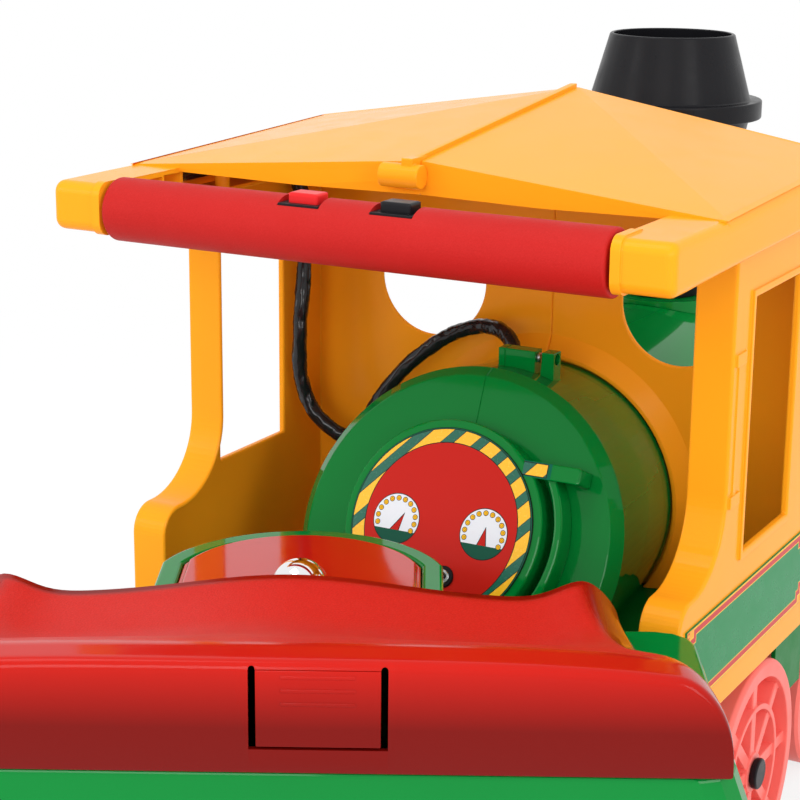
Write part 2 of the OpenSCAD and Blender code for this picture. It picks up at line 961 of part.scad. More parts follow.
module dash_boss() {
    color("green") on_dash() difference() {
        union() {
            translate([boss_plate_up, 0, 0]) cylinder(r = boss_plate_r, h = boss_plate_h);
            strap_lug(strap_up, strap_in);
            strap_lug(strap_down, strap_in);
            intersection() {
                translate([boss_plate_up, 0, 0]) difference() {
                    cylinder(r = strap_in + strap_lug_l - rib_w, h = boss_plate_h - strap_lug_h / 2);
                    translate([0, 0, -over])
                        cylinder(r = strap_in + strap_lug_l - 2 * rib_w, h = boss_plate_h + over);
                }
                translate([strap_down, -far, -over]) cube([strap_up - strap_down, far, far]);
            }
        }
        translate([boss_plate_up, 0, -over])
            cylinder(r = dial_plate_r - wall, h = boss_plate_h - wall + over);
        translate([boss_plate_up + socket_down, socket_y, 0]) cylinder(r = socket_r + run, h = far);
    }
}

module dash_plate() {
    color("red") on_dash() translate([boss_plate_up, 0, boss_plate_h]) difference() {
        cylinder(r = dial_plate_r, h = dial_plate_t);
        translate([socket_down, socket_y, -over]) cylinder(r = socket_r + run, h = far);
    }
}

module charge_socket() {
    color("black") on_dash() translate([boss_plate_up + socket_down, socket_y, 0]) difference() {
        translate([0, 0, boss_plate_h - wall - socket_h])
            cylinder(r = socket_r, h = socket_h + wall + dial_plate_t + over);
        translate([0, 0, boss_plate_h - wall - over]) cylinder(r = socket_bore_r, h = far);
    }
}

module sound_box() {
    color("dimgray") box(sound_x, sound_x + sound_l, -sound_w / 2, sound_w / 2, deck_z, deck_z + sound_h);
}

// Boiler, chimney and front

module boiler_half(side) {
    difference() {
        translate([0, 0, boiler_z]) difference() {
            rod_x(boiler_r, front_x, boiler_front_x);
            rod_x(boiler_r - drum_wall, front_x - over, boiler_front_x + over);
        }
        boiler_room();
        half_room(side);
    }
}

module boiler_left() {
    color("green") boiler_half(1);
}

module boiler_right() {
    color("green") boiler_half(-1);
}

module smokebox_front() {
    color("darkgreen") difference() {
        translate([0, 0, boiler_z]) union() {
            rod_x(boiler_r, boiler_front_x, boiler_front_x + smokebox_t - wall);
            rod_x(boiler_r - smokebox_t, boiler_front_x, boiler_front_x + smokebox_t);
        }
        boiler_room();
    }
}

module headlamp_housing() {
    color("gold") translate([boiler_front_x + smokebox_t, 0, boiler_z]) difference() {
        rod_x(lamp_r, 0, lamp_d);
        rod_x(lamp_r - wall, wall, lamp_d + over);
    }
}

module headlamp_lens() {
    color("lightyellow") translate([boiler_front_x + smokebox_t, 0, boiler_z])
        rod_x(lamp_r - wall - run, lamp_d - lens_in - lens_t, lamp_d - lens_in);
}

module chimney_collar() {
    color("green") difference() {
        translate([chimney_x, 0, boiler_z])
            cylinder(r = chimney_foot_r + collar_reach, h = boiler_r + collar_h);
        translate([0, 0, boiler_z]) rod_x(boiler_r + run, 0, far);
    }
}

module chimney_cone() {
    base_z = boiler_z + boiler_r + collar_h;
    color("black") translate([chimney_x, 0, 0]) difference() {
        translate([0, 0, base_z]) cylinder(r1 = chimney_foot_r, r2 = upper_r, h = ring_z - base_z);
        translate([0, 0, base_z + wall])
            cylinder(r1 = chimney_foot_r - funnel_wall, r2 = upper_r - funnel_wall, h = ring_z - base_z);
    }
}

module chimney_top() {
    color("black") translate([chimney_x, 0, ring_z]) difference() {
        union() {
            cylinder(r = ring_r, h = ring_h);
            translate([0, 0, ring_h]) cylinder(r1 = upper_r, r2 = upper_top_r, h = upper_h);
        }
        translate([0, 0, -over])
            cylinder(r1 = upper_r - funnel_wall, r2 = upper_top_r - funnel_wall,
                     h = ring_h + upper_h + 2 * over);
    }
}

module cowcatcher() {
    half = catcher_w / 2;
    top_z = floor_z - over;
    low_z = catcher_low_z;
    x = chassis_front_x;
    color("red") {
        box(x, x + catcher_beam_t, -half, half, top_z - catcher_beam_h, top_z);
        translate([x, 0, low_z]) linear_extrude(height = catcher_beam_t)
            polygon([[0, -half], [slat_t, -half], [catcher_l, 0], [slat_t, half], [0, half],
                     [catcher_l - slat_t, 0]]);
        for (i = [0 : slat_count - 1]) {
            share = 2 * i / (slat_count - 1) - 1;
            y = share * (half - slat_w / 2);
            reach = catcher_l - (catcher_l - slat_t) * abs(share);
            slab_xz(y - slat_w / 2, y + slat_w / 2) polygon([[x, top_z], [x + slat_t, top_z],
                [x + reach, low_z + catcher_beam_t / 2], [x + reach - slat_t, low_z + catcher_beam_t / 2]]);
        }
    }
}

module battery() {
    color("dimgray") box(battery_x, battery_x + battery_l, -battery_w / 2, battery_w / 2, deck_z,
                         deck_z + battery_h);
}

module battery_strap() {
    mid = battery_x + battery_l / 2;
    half = battery_w / 2;
    top = deck_z + battery_h;
    color("silver") {
        difference() {
            box(mid - strap_band_w / 2, mid + strap_band_w / 2, -half - strap_band_t, half + strap_band_t,
                deck_z, top + strap_band_t);
            box(mid - strap_band_w, mid + strap_band_w, -half, half, 0, top);
        }
        for (side = [1, -1]) {
            sided(side) box(mid - strap_band_w / 2, mid + strap_band_w / 2, half + strap_band_t - nil,
                            half + strap_band_w, deck_z, deck_z + strap_band_t);
        }
    }
}

// Cable sleeve

function unit(v) = v / norm(v);
function laid(p) = p + (boiler_r - route_r) * max(0, min(1, (route_free_y - p[1]) / route_ramp))
    * unit([0, p[1], p[2] - boiler_z]);
function cable_dir(i) = i == 0 ? [1, 0, 0] : i == len(cable_path) - 1 ? [0, 0, -1]
    : unit(cable_path[i + 1] - cable_path[i - 1]);
function carried(i) = i == 0 ? [0, 0, 1]
    : let (before = carried(i - 1), dir = cable_dir(i)) unit(before - dir * (before * dir));
function ring_points(i) =
    let (a = carried(i), b = cross(cable_dir(i), a))
    [for (k = [0 : cable_sides - 1])
        cable_path[i] + cable_r * (cos(360 * k / cable_sides) * a + sin(360 * k / cable_sides) * b)];

module cable_sleeve() {
    n = cable_sides;
    last = len(cable_path) - 1;
    points = [for (i = [0 : last]) each ring_points(i)];
    shells = [for (i = [0 : last - 1]) for (k = [0 : n - 1])
        let (a = i * n + k, b = i * n + (k + 1) % n)
        each [[a, b, a + n], [b, b + n, a + n]]];
    caps = [[for (k = [0 : n - 1]) n - 1 - k], [for (k = [0 : n - 1]) last * n + k]];
    color("black") polyhedron(points = points, faces = concat(shells, caps));
}

// Running gear

module wheel_profile(r, inner, outer) {
    mid = (inner + outer) / 2;
    difference() {
        union() {
            field(r - tread_t, r, inner, outer);
            field(axle_r + run, r - tread_t + nil, mid - web_t / 2, mid + web_t / 2);
            field(axle_r + run, hub_r, hub_in, outer - over);
            field(ring_mid_share * r - ring_rib / 2, ring_mid_share * r + ring_rib / 2, mid, outer - over);
        }
        translate([r, outer]) rotate(45) square(wall, center = true);
    }
}

module wheel(r, inner, outer) {
    mid = (inner + outer) / 2;
    rotate([-90, 0, 0]) {
        rotate_extrude() wheel_profile(r, inner, outer);
        for (i = [0 : spoke_count - 1]) {
            rotate([0, 0, 360 * i / spoke_count])
                translate([hub_r - over, -spoke_w / 2, mid]) cube([r - tread_t - hub_r + 2 * over, spoke_w,
                                                                  outer - 2 * over - mid]);
        }
    }
}

module caps(outer) {
    for (side = [1, -1]) {
        sided(side) difference() {
            rod_y(cap_r, outer - over + gap, outer - over + gap + cap_h);
            rod_y(axle_r + run, 0, outer);
        }
    }
}

module at_drive() {
    translate([drive_x, 0, wheel_r]) children();
}

module at_front() {
    translate([front_axle_x, 0, front_wheel_r]) children();
}

module drive_axle() {
    color("silver") at_drive() rod_y(axle_r, -wheel_out, wheel_out);
}

module drive_wheel_left() {
    color("red") at_drive() wheel(wheel_r, wheel_in, wheel_out);
}

module drive_wheel_right() {
    color("red") at_drive() mirror([0, 1, 0]) wheel(wheel_r, wheel_in, wheel_out);
}

module drive_caps() {
    color("black") at_drive() caps(wheel_out);
}

module front_axle() {
    color("silver") at_front() rod_y(axle_r, -front_out, front_out);
}

module front_wheel_left() {
    color("red") at_front() wheel(front_wheel_r, front_out - wheel_w, front_out);
}

module front_wheel_right() {
    color("red") at_front() mirror([0, 1, 0]) wheel(front_wheel_r, front_out - wheel_w, front_out);
}

module front_caps() {
    color("black") at_front() caps(front_out);
}

module axle_bushes() {
    color("white") at_drive() for (side = [1, -1]) {
        sided(side) difference() {
            union() {
                rod_y(bush_r, rail_y, rail_y + rail_t);
                rod_y(bush_flange_r, rail_y + rail_t, rail_y + rail_t + bush_flange_t);
            }
            rod_y(axle_r + run, 0, far);
        }
    }
}

function tooth(n, i) =
    let (step = 360 / n, quarter = step / 4, root = gear_m * (n / 2 - dedendum_share),
         tip = gear_m * (n / 2 + addendum_share) - slack)
    [for (p = [[root, -tooth_root_share], [tip, -tooth_tip_share], [tip, tooth_tip_share],
               [root, tooth_root_share]])
        p[0] * [cos(i * step + p[1] * quarter), sin(i * step + p[1] * quarter)]];

module gear(n, turn, y0, width, bore) {
    slab_xz(y0, y0 + width) difference() {
        rotate(turn) polygon([for (i = [0 : n - 1]) each tooth(n, i)]);
        circle(r = bore);
    }
}

module drive_gear() {
    color("ivory") at_drive() gear(big_teeth, mesh_angle, layer_a, gear_w, axle_r + run);
}

module at_compound() {
    translate([comp_x, 0, comp_z]) children();
}

module compound_gear() {
    color("ivory") at_compound() {
        gear(small_teeth, mesh_angle + 180 + 180 / small_teeth, layer_a - gear_lap, gear_w + 2 * gear_lap,
             gear_pin_r + run);
        gear(big_teeth, mesh_angle, layer_b, gear_w, gear_pin_r + run);
        difference() {
            rod_y(gear_m * (small_teeth / 2 - dedendum_share), layer_a, layer_b + gear_w);
            rod_y(gear_pin_r + run, -far, far);
        }
    }
}

module at_motor() {
    translate([motor_x, 0, motor_z]) children();
}

module motor_pinion() {
    color("goldenrod") at_motor() {
        gear(motor_teeth, mesh_angle + 180 + 180 / motor_teeth, layer_b - gear_lap, gear_w + 2 * gear_lap, 0);
        rod_y(pinion_shaft_r, layer_b, case_out_y + stub_l);
    }
}

module gear_pin() {
    color("silver") at_compound() rod_y(gear_pin_r, case_in_y - case_wall, case_out_y);
}

module gear_bores(y0, y1) {
    at_drive() rod_y(axle_r + slack, y0, y1);
    at_compound() rod_y(gear_pin_r, y0, y1);
    at_motor() rod_y(pinion_shaft_r + slack, y0, y1);
}

module gearbox_case() {
    color("lightgray") difference() {
        box(case_rear_x, case_front_x, case_in_y, case_out_y, case_low_z, floor_z);
        box(case_rear_x + case_wall, case_front_x - case_wall, case_in_y - over, case_out_y - case_wall,
            case_low_z + case_wall, far);
        gear_bores(-far, far);
    }
}

module gearbox_cover() {
    color("lightgray") difference() {
        box(case_rear_x, case_front_x, case_in_y - case_wall, case_in_y, case_low_z, floor_z);
        gear_bores(-far, far);
    }
}

module motor() {
    color("silver") at_motor() difference() {
        rod_y(motor_r, case_out_y, case_out_y + motor_l);
        rod_y(pinion_shaft_r + run, case_out_y - over, case_out_y + stub_l + gap);
    }
}

// Seat unit

module tongue_plan(r, half, end_d) {
    circle(r = r);
    field(-end_d, 0, -half, half);
}

module d_plan(r, half, end_d) {
    intersection() {
        tongue_plan(r, half, end_d);
        field(-end_d, far, -half, half);
    }
}

module body_level(z, half, front_d, rear_d, inset) {
    for (side = [1, -1]) {
        for (d = [front_d + corner_r, rear_d - corner_r]) {
            translate([-d, side * (half - corner_r), z])
                cylinder(r = corner_r - inset, h = nil, $fn = body_fn);
        }
    }
}

module body_form(inset, drop) {
    hull() {
        body_level(body_top_z - inset - nil, body_half, body_front_d, body_rear_d - body_rear_lean, inset);
        body_level(flare_z, skirt_half, body_front_d - body_lean, body_rear_d, inset);
        body_level(skirt_z - drop, skirt_half, body_front_d - body_lean, body_rear_d, inset);
    }
}

module tender_body() {
    color("green") on_tender() difference() {
        union() {
            difference() {
                body_form(0, 0);
                body_form(wall, over);
            }
            translate([0, 0, tongue_low_z]) linear_extrude(height = tongue_floor)
                d_plan(tongue_r, tongue_half, body_front_d + wall);
            translate([0, 0, tongue_low_z]) linear_extrude(height = tongue_z - tongue_low_z) difference() {
                d_plan(tongue_r, tongue_half, foot_d);
                d_plan(tongue_r - rim_w, tongue_half - rim_w, foot_d + over);
            }
            translate([0, 0, tongue_low_z])
                cylinder(r = bolt_tube_r, h = cover_top_z - cover_t - tongue_low_z);
            box(-bin_rear_d - wall, -bin_front_d + wall, -bin_half - wall, bin_half + wall, bin_z - wall,
                body_top_z - nil);
            for (side = [1, -1]) {
                sided(side) box(-tender_axle_d - axle_plate_half, -tender_axle_d + axle_plate_half,
                                bin_half - axle_plate_t, bin_half, wheel_r - axle_plate_half, bin_z);
                sided(side) box(-hinge_d - ear_t, -hinge_d + ear_t, ear_y, ear_y + ear_t, body_top_z - wall,
                                hinge_z + ear_t);
            }
            box(-body_rear_d + nil, -body_rear_d + tow_l, -tow_half, tow_half, skirt_z, skirt_z + tow_t);
        }
        box(-bin_rear_d, -bin_front_d, -bin_half, bin_half, bin_z, far);
        translate([0, 0, skirt_z - over]) cylinder(r = tail_room_r, h = tongue_low_z - skirt_z + over);
        translate([0, 0, tongue_low_z - over]) cylinder(r = pivot_r + run, h = far);
        translate([-tender_axle_d, 0, wheel_r]) rod_y(axle_r + run, -far, far);
        translate([-hinge_d, 0, hinge_z]) rod_y(hinge_r + run, -far, far);
        translate([-body_rear_d + tow_l - 2 * tow_t, 0, skirt_z - over])
            cylinder(r = tow_r, h = tow_t + 2 * over);
    }
}

module pivot_cover() {
    color("red") on_tender() difference() {
        union() {
            translate([0, 0, cover_top_z - cover_t]) linear_extrude(height = cover_t - cover_edge)
                d_plan(cover_r, cover_half, body_front_d - over);
            translate([0, 0, cover_top_z - cover_edge - nil]) linear_extrude(height = cover_edge + nil)
                d_plan(cover_r - cover_edge, cover_half - cover_edge, body_front_d - over);
        }
        translate([0, 0, -over]) cylinder(r = pivot_r + run, h = far);
    }
}

module pivot_bolt() {
    color("silver") on_tender() {
        translate([0, 0, floor_z - slack - bolt_head_h]) cylinder(r = bolt_head_r, h = bolt_head_h);
        translate([0, 0, floor_z - bolt_head_h])
            cylinder(r = pivot_r, h = cover_top_z - floor_z + bolt_head_h);
    }
}

module dome_cap() {
    ball_r = (dome_r * dome_r + dome_h * dome_h) / (2 * dome_h);
    color("white") on_tender() intersection() {
        translate([0, 0, cover_top_z + dome_h - ball_r]) sphere(r = ball_r);
        translate([0, 0, cover_top_z]) cylinder(r = dome_r + over, h = dome_h + over);
    }
}

module tender_axle() {
    color("silver") on_tender() translate([-tender_axle_d, 0, wheel_r]) rod_y(axle_r, -wheel_out, wheel_out);
}

module tender_wheels() {
    color("red") on_tender() translate([-tender_axle_d, 0, wheel_r]) for (side = [1, -1]) {
        sided(side) wheel(wheel_r, wheel_in, wheel_out);
    }
}

module tender_caps() {
    color("black") on_tender() translate([-tender_axle_d, 0, wheel_r]) caps(wheel_out);
}

// Seat

function smooth(t) = t <= 0 ? 0 : t >= 1 ? 1 : t * t * (3 - 2 * t);
function seat_half(d) = seat_front_half
    + (seat_rear_half - seat_front_half) * smooth((d - seat_front_d) / (seat_lip_d - seat_front_d));
function seat_front_z(y) = seat_dip_z + seat_bump * exp(-pow(y / bump_width, 2))
    + seat_ear * exp(-pow((abs(y) - seat_front_half + ear_width) / ear_width, 2));
function seat_side_fall(v) = let (q = (abs(v) - 1 + side_round_share) / side_round_share)
    q <= 0 ? 0 : 1 - sqrt(max(0, 1 - q * q));
function seat_rear_fall(d) = let (q = (d - seat_lip_d) / (seat_rear_d - seat_lip_d))
    q <= 0 ? 0 : 1 - sqrt(max(0, 1 - q * q));
function seat_top(d, v) =
    let (t = min(1, (d - seat_front_d) / (seat_rim_d - seat_front_d)),
         lip = smooth((t - lip_start_share) / (1 - lip_start_share)),
         crest = seat_lip_z - lip_fall * pow(v, 4),
         base = seat_front_z(v * seat_half(d)) * (1 - lip) + crest * lip - pan_dip * sin(180 * t),
         side = seat_side_fall(v) * (base - seat_low_z) * ear_fall_share,
         rear = seat_rear_fall(d) * (seat_rear_d - seat_lip_d))
    base - side - rear;
seat_ds = concat([for (i = [0 : seat_rows]) seat_front_d + (seat_rim_d - seat_front_d) * i / seat_rows],
                 [seat_lip_d],
                 [for (i = [1 : lip_rows]) seat_lip_d + (seat_rear_d - seat_lip_d) * sin(90 * i / lip_rows)]);
seat_vs = [for (k = [0 : seat_cols]) sin(90 * (2 * k / seat_cols - 1))];

function seat_spot(d, v, inset) =
    let (mid = (seat_rear_d + seat_front_d) / 2,
         squeeze = (seat_rear_d - seat_front_d - 2 * inset) / (seat_rear_d - seat_front_d))
    [-mid - (d - mid) * squeeze, v * (seat_half(d) - inset)];
function seat_edge_z(d) = seat_front_low_z
    + (seat_low_z - seat_front_low_z) * smooth(2 * (d - seat_front_d) / (seat_lip_d - seat_front_d));

// The seat is one shell: top grid, underside grid, and the skirt between their edges
module seat_shell() {
    nd = len(seat_ds);
    nv = len(seat_vs);
    n = nd * nv;
    edge = concat([for (k = [0 : nv - 2]) [0, k]], [for (i = [0 : nd - 2]) [i, nv - 1]],
                  [for (k = [nv - 1 : -1 : 1]) [nd - 1, k]], [for (i = [nd - 1 : -1 : 1]) [i, 0]]);
    m = len(edge);
    tops = [for (d = seat_ds) for (v = seat_vs) [each seat_spot(d, v, 0), seat_top(d, v)]];
    unders = [for (d = seat_ds) for (v = seat_vs)
        [each seat_spot(d, v, seat_wall), seat_top(d, v) - seat_wall]];
    outs = [for (e = edge) [each seat_spot(seat_ds[e[0]], seat_vs[e[1]], 0), seat_edge_z(seat_ds[e[0]])]];
    ins = [for (e = edge)
        [each seat_spot(seat_ds[e[0]], seat_vs[e[1]], seat_wall), seat_edge_z(seat_ds[e[0]])]];
    grid = [for (i = [0 : nd - 2]) for (k = [0 : nv - 2])
        let (a = i * nv + k, b = a + 1, c = a + nv, e = c + 1)
        each [[a, c, b], [b, c, e], [n + a, n + b, n + c], [n + b, n + e, n + c]]];
    skirt = [for (j = [0 : m - 1])
        let (h = (j + 1) % m, t0 = edge[j][0] * nv + edge[j][1], t1 = edge[h][0] * nv + edge[h][1],
             o0 = 2 * n + j, o1 = 2 * n + h, i0 = 2 * n + m + j, i1 = 2 * n + m + h)
        each [[t0, t1, o0], [t1, o1, o0], [o0, o1, i0], [o1, i1, i0], [i0, i1, n + t0],
              [i1, n + t1, n + t0]]];
    polyhedron(points = concat(tops, unders, outs, ins), faces = concat(grid, skirt));
}

module latch_pin(r, reach) {
    half = latch_w / 2 + latch_gap + reach;
    translate([-seat_rear_d + latch_t / 2, -latch_y, latch_top_z - latch_t / 2]) rod_y(r, -half, half);
}

module seat() {
    lug_z = seat_top(hinge_d, ear_y / seat_half(hinge_d)) - seat_wall / 2;
    color("red") on_tender() {
        difference() {
            seat_shell();
            box(-seat_rear_d - over, -seat_rear_d + 2 * seat_wall, -latch_y - latch_w / 2 - latch_gap,
                -latch_y + latch_w / 2 + latch_gap, latch_top_z - latch_h - latch_gap,
                latch_top_z + latch_gap);
            latch_pin(latch_pin_r + run, latch_pin_in + gap);
            for (side = [1, -1]) {
                sided(side) box(-hinge_d - ear_t - ear_room, -seat_front_d + over, ear_y - gap,
                                ear_y + ear_t + ear_room, body_top_z, hinge_z + 2 * ear_t);
            }
        }
        for (side = [1, -1]) {
            sided(side) difference() {
                box(-hinge_d - ear_t, -hinge_d + ear_t, ear_y - ear_t - gap, ear_y - gap, hinge_z - ear_t,
                    lug_z);
                translate([-hinge_d, 0, hinge_z]) rod_y(hinge_r + run, -far, far);
            }
        }
    }
}

module latch_tab() {
    color("red") on_tender() translate([-seat_rear_d, -latch_y, latch_top_z]) {
        box(0, latch_t, -latch_w / 2, latch_w / 2, -latch_h, 0);
        for (i = [1 : latch_ribs]) {
            rib_z = -latch_h * i / (latch_ribs + 1);
            box(-latch_rib / 2, nil, -latch_w / 2 + latch_rib_h, latch_w / 2 - latch_rib_h,
                rib_z - latch_rib_h / 2, rib_z + latch_rib_h / 2);
        }
    }
    color("red") on_tender() latch_pin(latch_pin_r, latch_pin_in);
}

module seat_hinge_rod() {
    color("silver") on_tender() translate([-hinge_d, 0, hinge_z])
        rod_y(hinge_r, -ear_y - ear_t, ear_y + ear_t);
}

chassis();
thrust_washer();
cab_left();
cab_right();
roof_left();
roof_right();
roof_screws();
bar_core();
grip();
switch_plates();
switch_bodies();
red_button();
black_button();
drum_left();
drum_right();
dash_boss();
dash_plate();
charge_socket();
drum_screw();
sound_box();
boiler_left();
boiler_right();
smokebox_front();
headlamp_housing();
headlamp_lens();
chimney_collar();
chimney_cone();
chimney_top();
cowcatcher();
battery();
battery_strap();
sign_left();
sign_right();
cable_sleeve();
gearbox_case();
gearbox_cover();
motor();
gear_pin();
axle_bushes();
drive_axle();
drive_gear();
drive_wheel_left();
drive_wheel_right();
drive_caps();
compound_gear();
motor_pinion();
front_axle();
front_wheel_left();
front_wheel_right();
front_caps();
tender_body();
pivot_cover();
pivot_bolt();
dome_cap();
seat();
latch_tab();
seat_hinge_rod();
tender_axle();
tender_wheels();
tender_caps();
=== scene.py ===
"""Looks of the ride-on train: rounds its mouldings, prints its dash and signs, and lights it."""

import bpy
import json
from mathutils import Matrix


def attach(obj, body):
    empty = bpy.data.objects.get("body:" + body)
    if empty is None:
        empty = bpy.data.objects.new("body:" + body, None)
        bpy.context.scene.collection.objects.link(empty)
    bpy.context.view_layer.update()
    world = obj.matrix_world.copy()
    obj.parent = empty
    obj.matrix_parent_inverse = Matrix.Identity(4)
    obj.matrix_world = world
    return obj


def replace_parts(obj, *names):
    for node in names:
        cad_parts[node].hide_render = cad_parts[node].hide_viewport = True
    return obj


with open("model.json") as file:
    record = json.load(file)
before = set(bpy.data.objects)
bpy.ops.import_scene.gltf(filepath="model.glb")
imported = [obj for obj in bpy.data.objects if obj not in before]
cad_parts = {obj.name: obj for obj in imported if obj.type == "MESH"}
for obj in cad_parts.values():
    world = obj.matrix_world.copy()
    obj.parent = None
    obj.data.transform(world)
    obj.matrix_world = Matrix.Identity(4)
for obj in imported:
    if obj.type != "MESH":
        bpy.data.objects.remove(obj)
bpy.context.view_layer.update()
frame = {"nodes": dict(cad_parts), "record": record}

import json
import math

import bmesh
import bpy
from bpy.props import FloatProperty, FloatVectorProperty, PointerProperty
from mathutils import Matrix, Vector, noise
from mathutils.bvhtree import BVHTree
from mathutils.geometry import intersect_point_line, tessellate_polygon

bl_info = {
    "name": "Ride-on train looks",
    "version": (1, 0, 0),
    "blender": (4, 5, 0),
    "location": "View3D > Sidebar > Train",
    "description": "Dresses the packed ride-on train with rounded mouldings, prints and studio light",
    "category": "Object",
}

BODIES = frame["record"]["behaviour"]["bodies"]
NODE_BODY = {node: body for body, nodes in BODIES.items() for node in nodes}
NODE_SLOT = {part["node"]: part["material_slot"] for part in frame["record"]["subparts"]}
MM = 0.001


# Settings a user would change


def colour_setting(label, words, value):
    return FloatVectorProperty(name=label, description=words, subtype="COLOR", size=3, min=0, max=1,
                               default=value)


class TrainColours(bpy.types.PropertyGroup):
    """Base colours of the train's plastics"""

    orange: colour_setting("Cab orange", "Colour of the cab and the roof", (0.97, 0.36, 0.012))
    green: colour_setting("Green", "Colour of the drum, boiler, chassis and seat unit", (0.0, 0.2, 0.03))
    red: colour_setting("Red", "Colour of the seat and the pivot cover", (0.5, 0.010, 0.005))
    grip: colour_setting("Grip red", "Colour of the grip sleeve", (0.45, 0.010, 0.008))
    # Partly the wheels' own red and partly painted light: it is made paler to stand in for a pale highlight
    # and to lift the wheels out of the body's shade
    wheel: colour_setting("Wheel red", "Colour of the wheels", (0.95, 0.19, 0.16))
    black: colour_setting("Black", "Colour of the chimney, plates and sleeve", (0.010, 0.010, 0.012))
    yellow: colour_setting("Print yellow", "Colour of the printed stripes and lines", (0.98, 0.52, 0.015))


def length_setting(label, words, value, low, high):
    return FloatProperty(name=label, description=words, default=value, min=low, max=high, unit="LENGTH")


def power_setting(label, words, value):
    return FloatProperty(name=label, description=words, default=value, min=0, max=500, unit="POWER")


class TrainForms(bpy.types.PropertyGroup):
    """Sizes of the fine forms"""

    edge: length_setting("Edge round", "Rounding of the mouldings' edges", 0.0018, 0.0002, 0.006)
    seam: length_setting("Seam round", "Rounding of edges where two halves meet", 0.0008, 0.0002, 0.003)
    wrinkle: length_setting("Sleeve wrinkle", "Depth of the cable sleeve's creases", 0.0009, 0.0, 0.003)


class TrainStage(bpy.types.PropertyGroup):
    """Light of the studio"""

    sky: FloatProperty(name="Sky", description="Strength of the even light from all sides", default=1.08,
                       min=0, max=3)
    key: power_setting("Key", "Power of the overhead softbox", 8.0)
    fill: power_setting("Fill", "Power of the side softboxes", 6.5)
    front: power_setting("Front", "Power of the softbox behind the rider", 12.0)


# Node helpers


MIX_FACTOR, MIX_A, MIX_B, MIX_RESULT = 0, 6, 7, 2
NOISE_SPAN = (0.3, 0.7)


def feed(tree, socket, value):
    """Links another node's socket, or sets a plain value"""
    if isinstance(value, bpy.types.NodeSocket):
        tree.links.new(value, socket)
    else:
        socket.default_value = value


def add_node(tree, kind, inputs=None, **settings):
    node = tree.nodes.new(kind)
    for key, value in settings.items():
        setattr(node, key, value)
    for key, value in (inputs or {}).items():
        feed(tree, node.inputs[key], value)
    return node


def sum_node(tree, operation, first, second=0.0):
    return add_node(tree, "ShaderNodeMath", {0: first, 1: second}, operation=operation).outputs[0]


def blend_node(tree, factor, first, second, blend_type="MIX"):
    sockets = {MIX_FACTOR: factor, MIX_A: first, MIX_B: second}
    node = add_node(tree, "ShaderNodeMix", sockets, data_type="RGBA", blend_type=blend_type)
    return node.outputs[MIX_RESULT]


def range_node(tree, value, low, high, to_low, to_high):
    return add_node(tree, "ShaderNodeMapRange", {"Value": value, "From Min": low, "From Max": high,
                                                "To Min": to_low, "To Max": to_high}).outputs[0]


def noise_node(tree, place, scale, detail, roughness=0.5):
    inputs = {"Vector": place, "Scale": scale, "Detail": detail, "Roughness": roughness}
    return add_node(tree, "ShaderNodeTexNoise", inputs).outputs[0]


def object_place(tree):
    return add_node(tree, "ShaderNodeTexCoord").outputs["Object"]


def set_inputs(node, values):
    for key, value in values.items():
        node.inputs[key].default_value = value


def new_group(name, inputs, outputs):
    tree = bpy.data.node_groups.new(name, "ShaderNodeTree")
    for label, kind, value in inputs:
        socket = tree.interface.new_socket(label, in_out="INPUT", socket_type=kind)
        socket.default_value = value
    for label, kind in outputs:
        tree.interface.new_socket(label, in_out="OUTPUT", socket_type=kind)
    return tree, tree.nodes.new("NodeGroupInput"), tree.nodes.new("NodeGroupOutput")


# Spans that the groups' noise is mapped to
SKIN_SHADE, METAL_SHADE, METAL_GLOSS = (0.84, 1.06), (0.8, 1.05), (0.22, 0.42)
# The first span below maps the grain's fuzz to a mask of painted highlights on the grain's tips
TIP_HIGHLIGHT_SPAN, CELL_SHARE, METAL_TINT = (0.35, 0.7), 0.7, 0.6
# The turning lines run round the axles, so their noise is drawn out in x and z
LINE_STRETCH = (0.08, 1.0, 0.08)


def build_moulded_skin():
    """Uneven tint, uneven gloss and the faint peel of moulded plastic"""
    tree, given, made = new_group(
        "Moulded skin",
        [("Colour", "NodeSocketColor", (0.5, 0.5, 0.5, 1)), ("Tint", "NodeSocketFloat", 0.3),
         ("Gloss low", "NodeSocketFloat", 0.2), ("Gloss high", "NodeSocketFloat", 0.3),
         ("Peel scale", "NodeSocketFloat", 160.0)],
        [("Colour", "NodeSocketColor"), ("Roughness", "NodeSocketFloat"), ("Height", "NodeSocketFloat")])
    place = object_place(tree)
    flow = noise_node(tree, place, scale=5.0, detail=3.0, roughness=0.55)
    smear = noise_node(tree, place, scale=38.0, detail=4.0, roughness=0.6)
    peel = noise_node(tree, place, given.outputs["Peel scale"], detail=2.0)
    shade = range_node(tree, flow, *NOISE_SPAN, *SKIN_SHADE)
    tinted = blend_node(tree, given.outputs["Tint"], given.outputs["Colour"], shade, "MULTIPLY")
    gloss = range_node(tree, smear, *NOISE_SPAN, given.outputs["Gloss low"], given.outputs["Gloss high"])
    tree.links.new(tinted, made.inputs["Colour"])
    tree.links.new(gloss, made.inputs["Roughness"])
    tree.links.new(peel, made.inputs["Height"])
    return tree


def build_fine_grain():
    """Leathery grain of a matt sleeve or seat pan, with a mask for painted highlights on the grain's tips"""
    tree, given, made = new_group(
        "Fine grain", [("Scale", "NodeSocketFloat", 900.0)],
        [("Height", "NodeSocketFloat"), ("Tip highlights", "NodeSocketFloat")])
    place = object_place(tree)
    scale = given.outputs["Scale"]
    cells = add_node(tree, "ShaderNodeTexVoronoi", {"Vector": place, "Scale": scale})
    fuzz = noise_node(tree, place, scale, detail=3.0)
    rough = sum_node(tree, "MULTIPLY", cells.outputs["Distance"], CELL_SHARE)
    tree.links.new(sum_node(tree, "ADD", rough, fuzz), made.inputs["Height"])
    tree.links.new(range_node(tree, fuzz, *TIP_HIGHLIGHT_SPAN, 0.0, 1.0), made.inputs["Tip highlights"])
    return tree


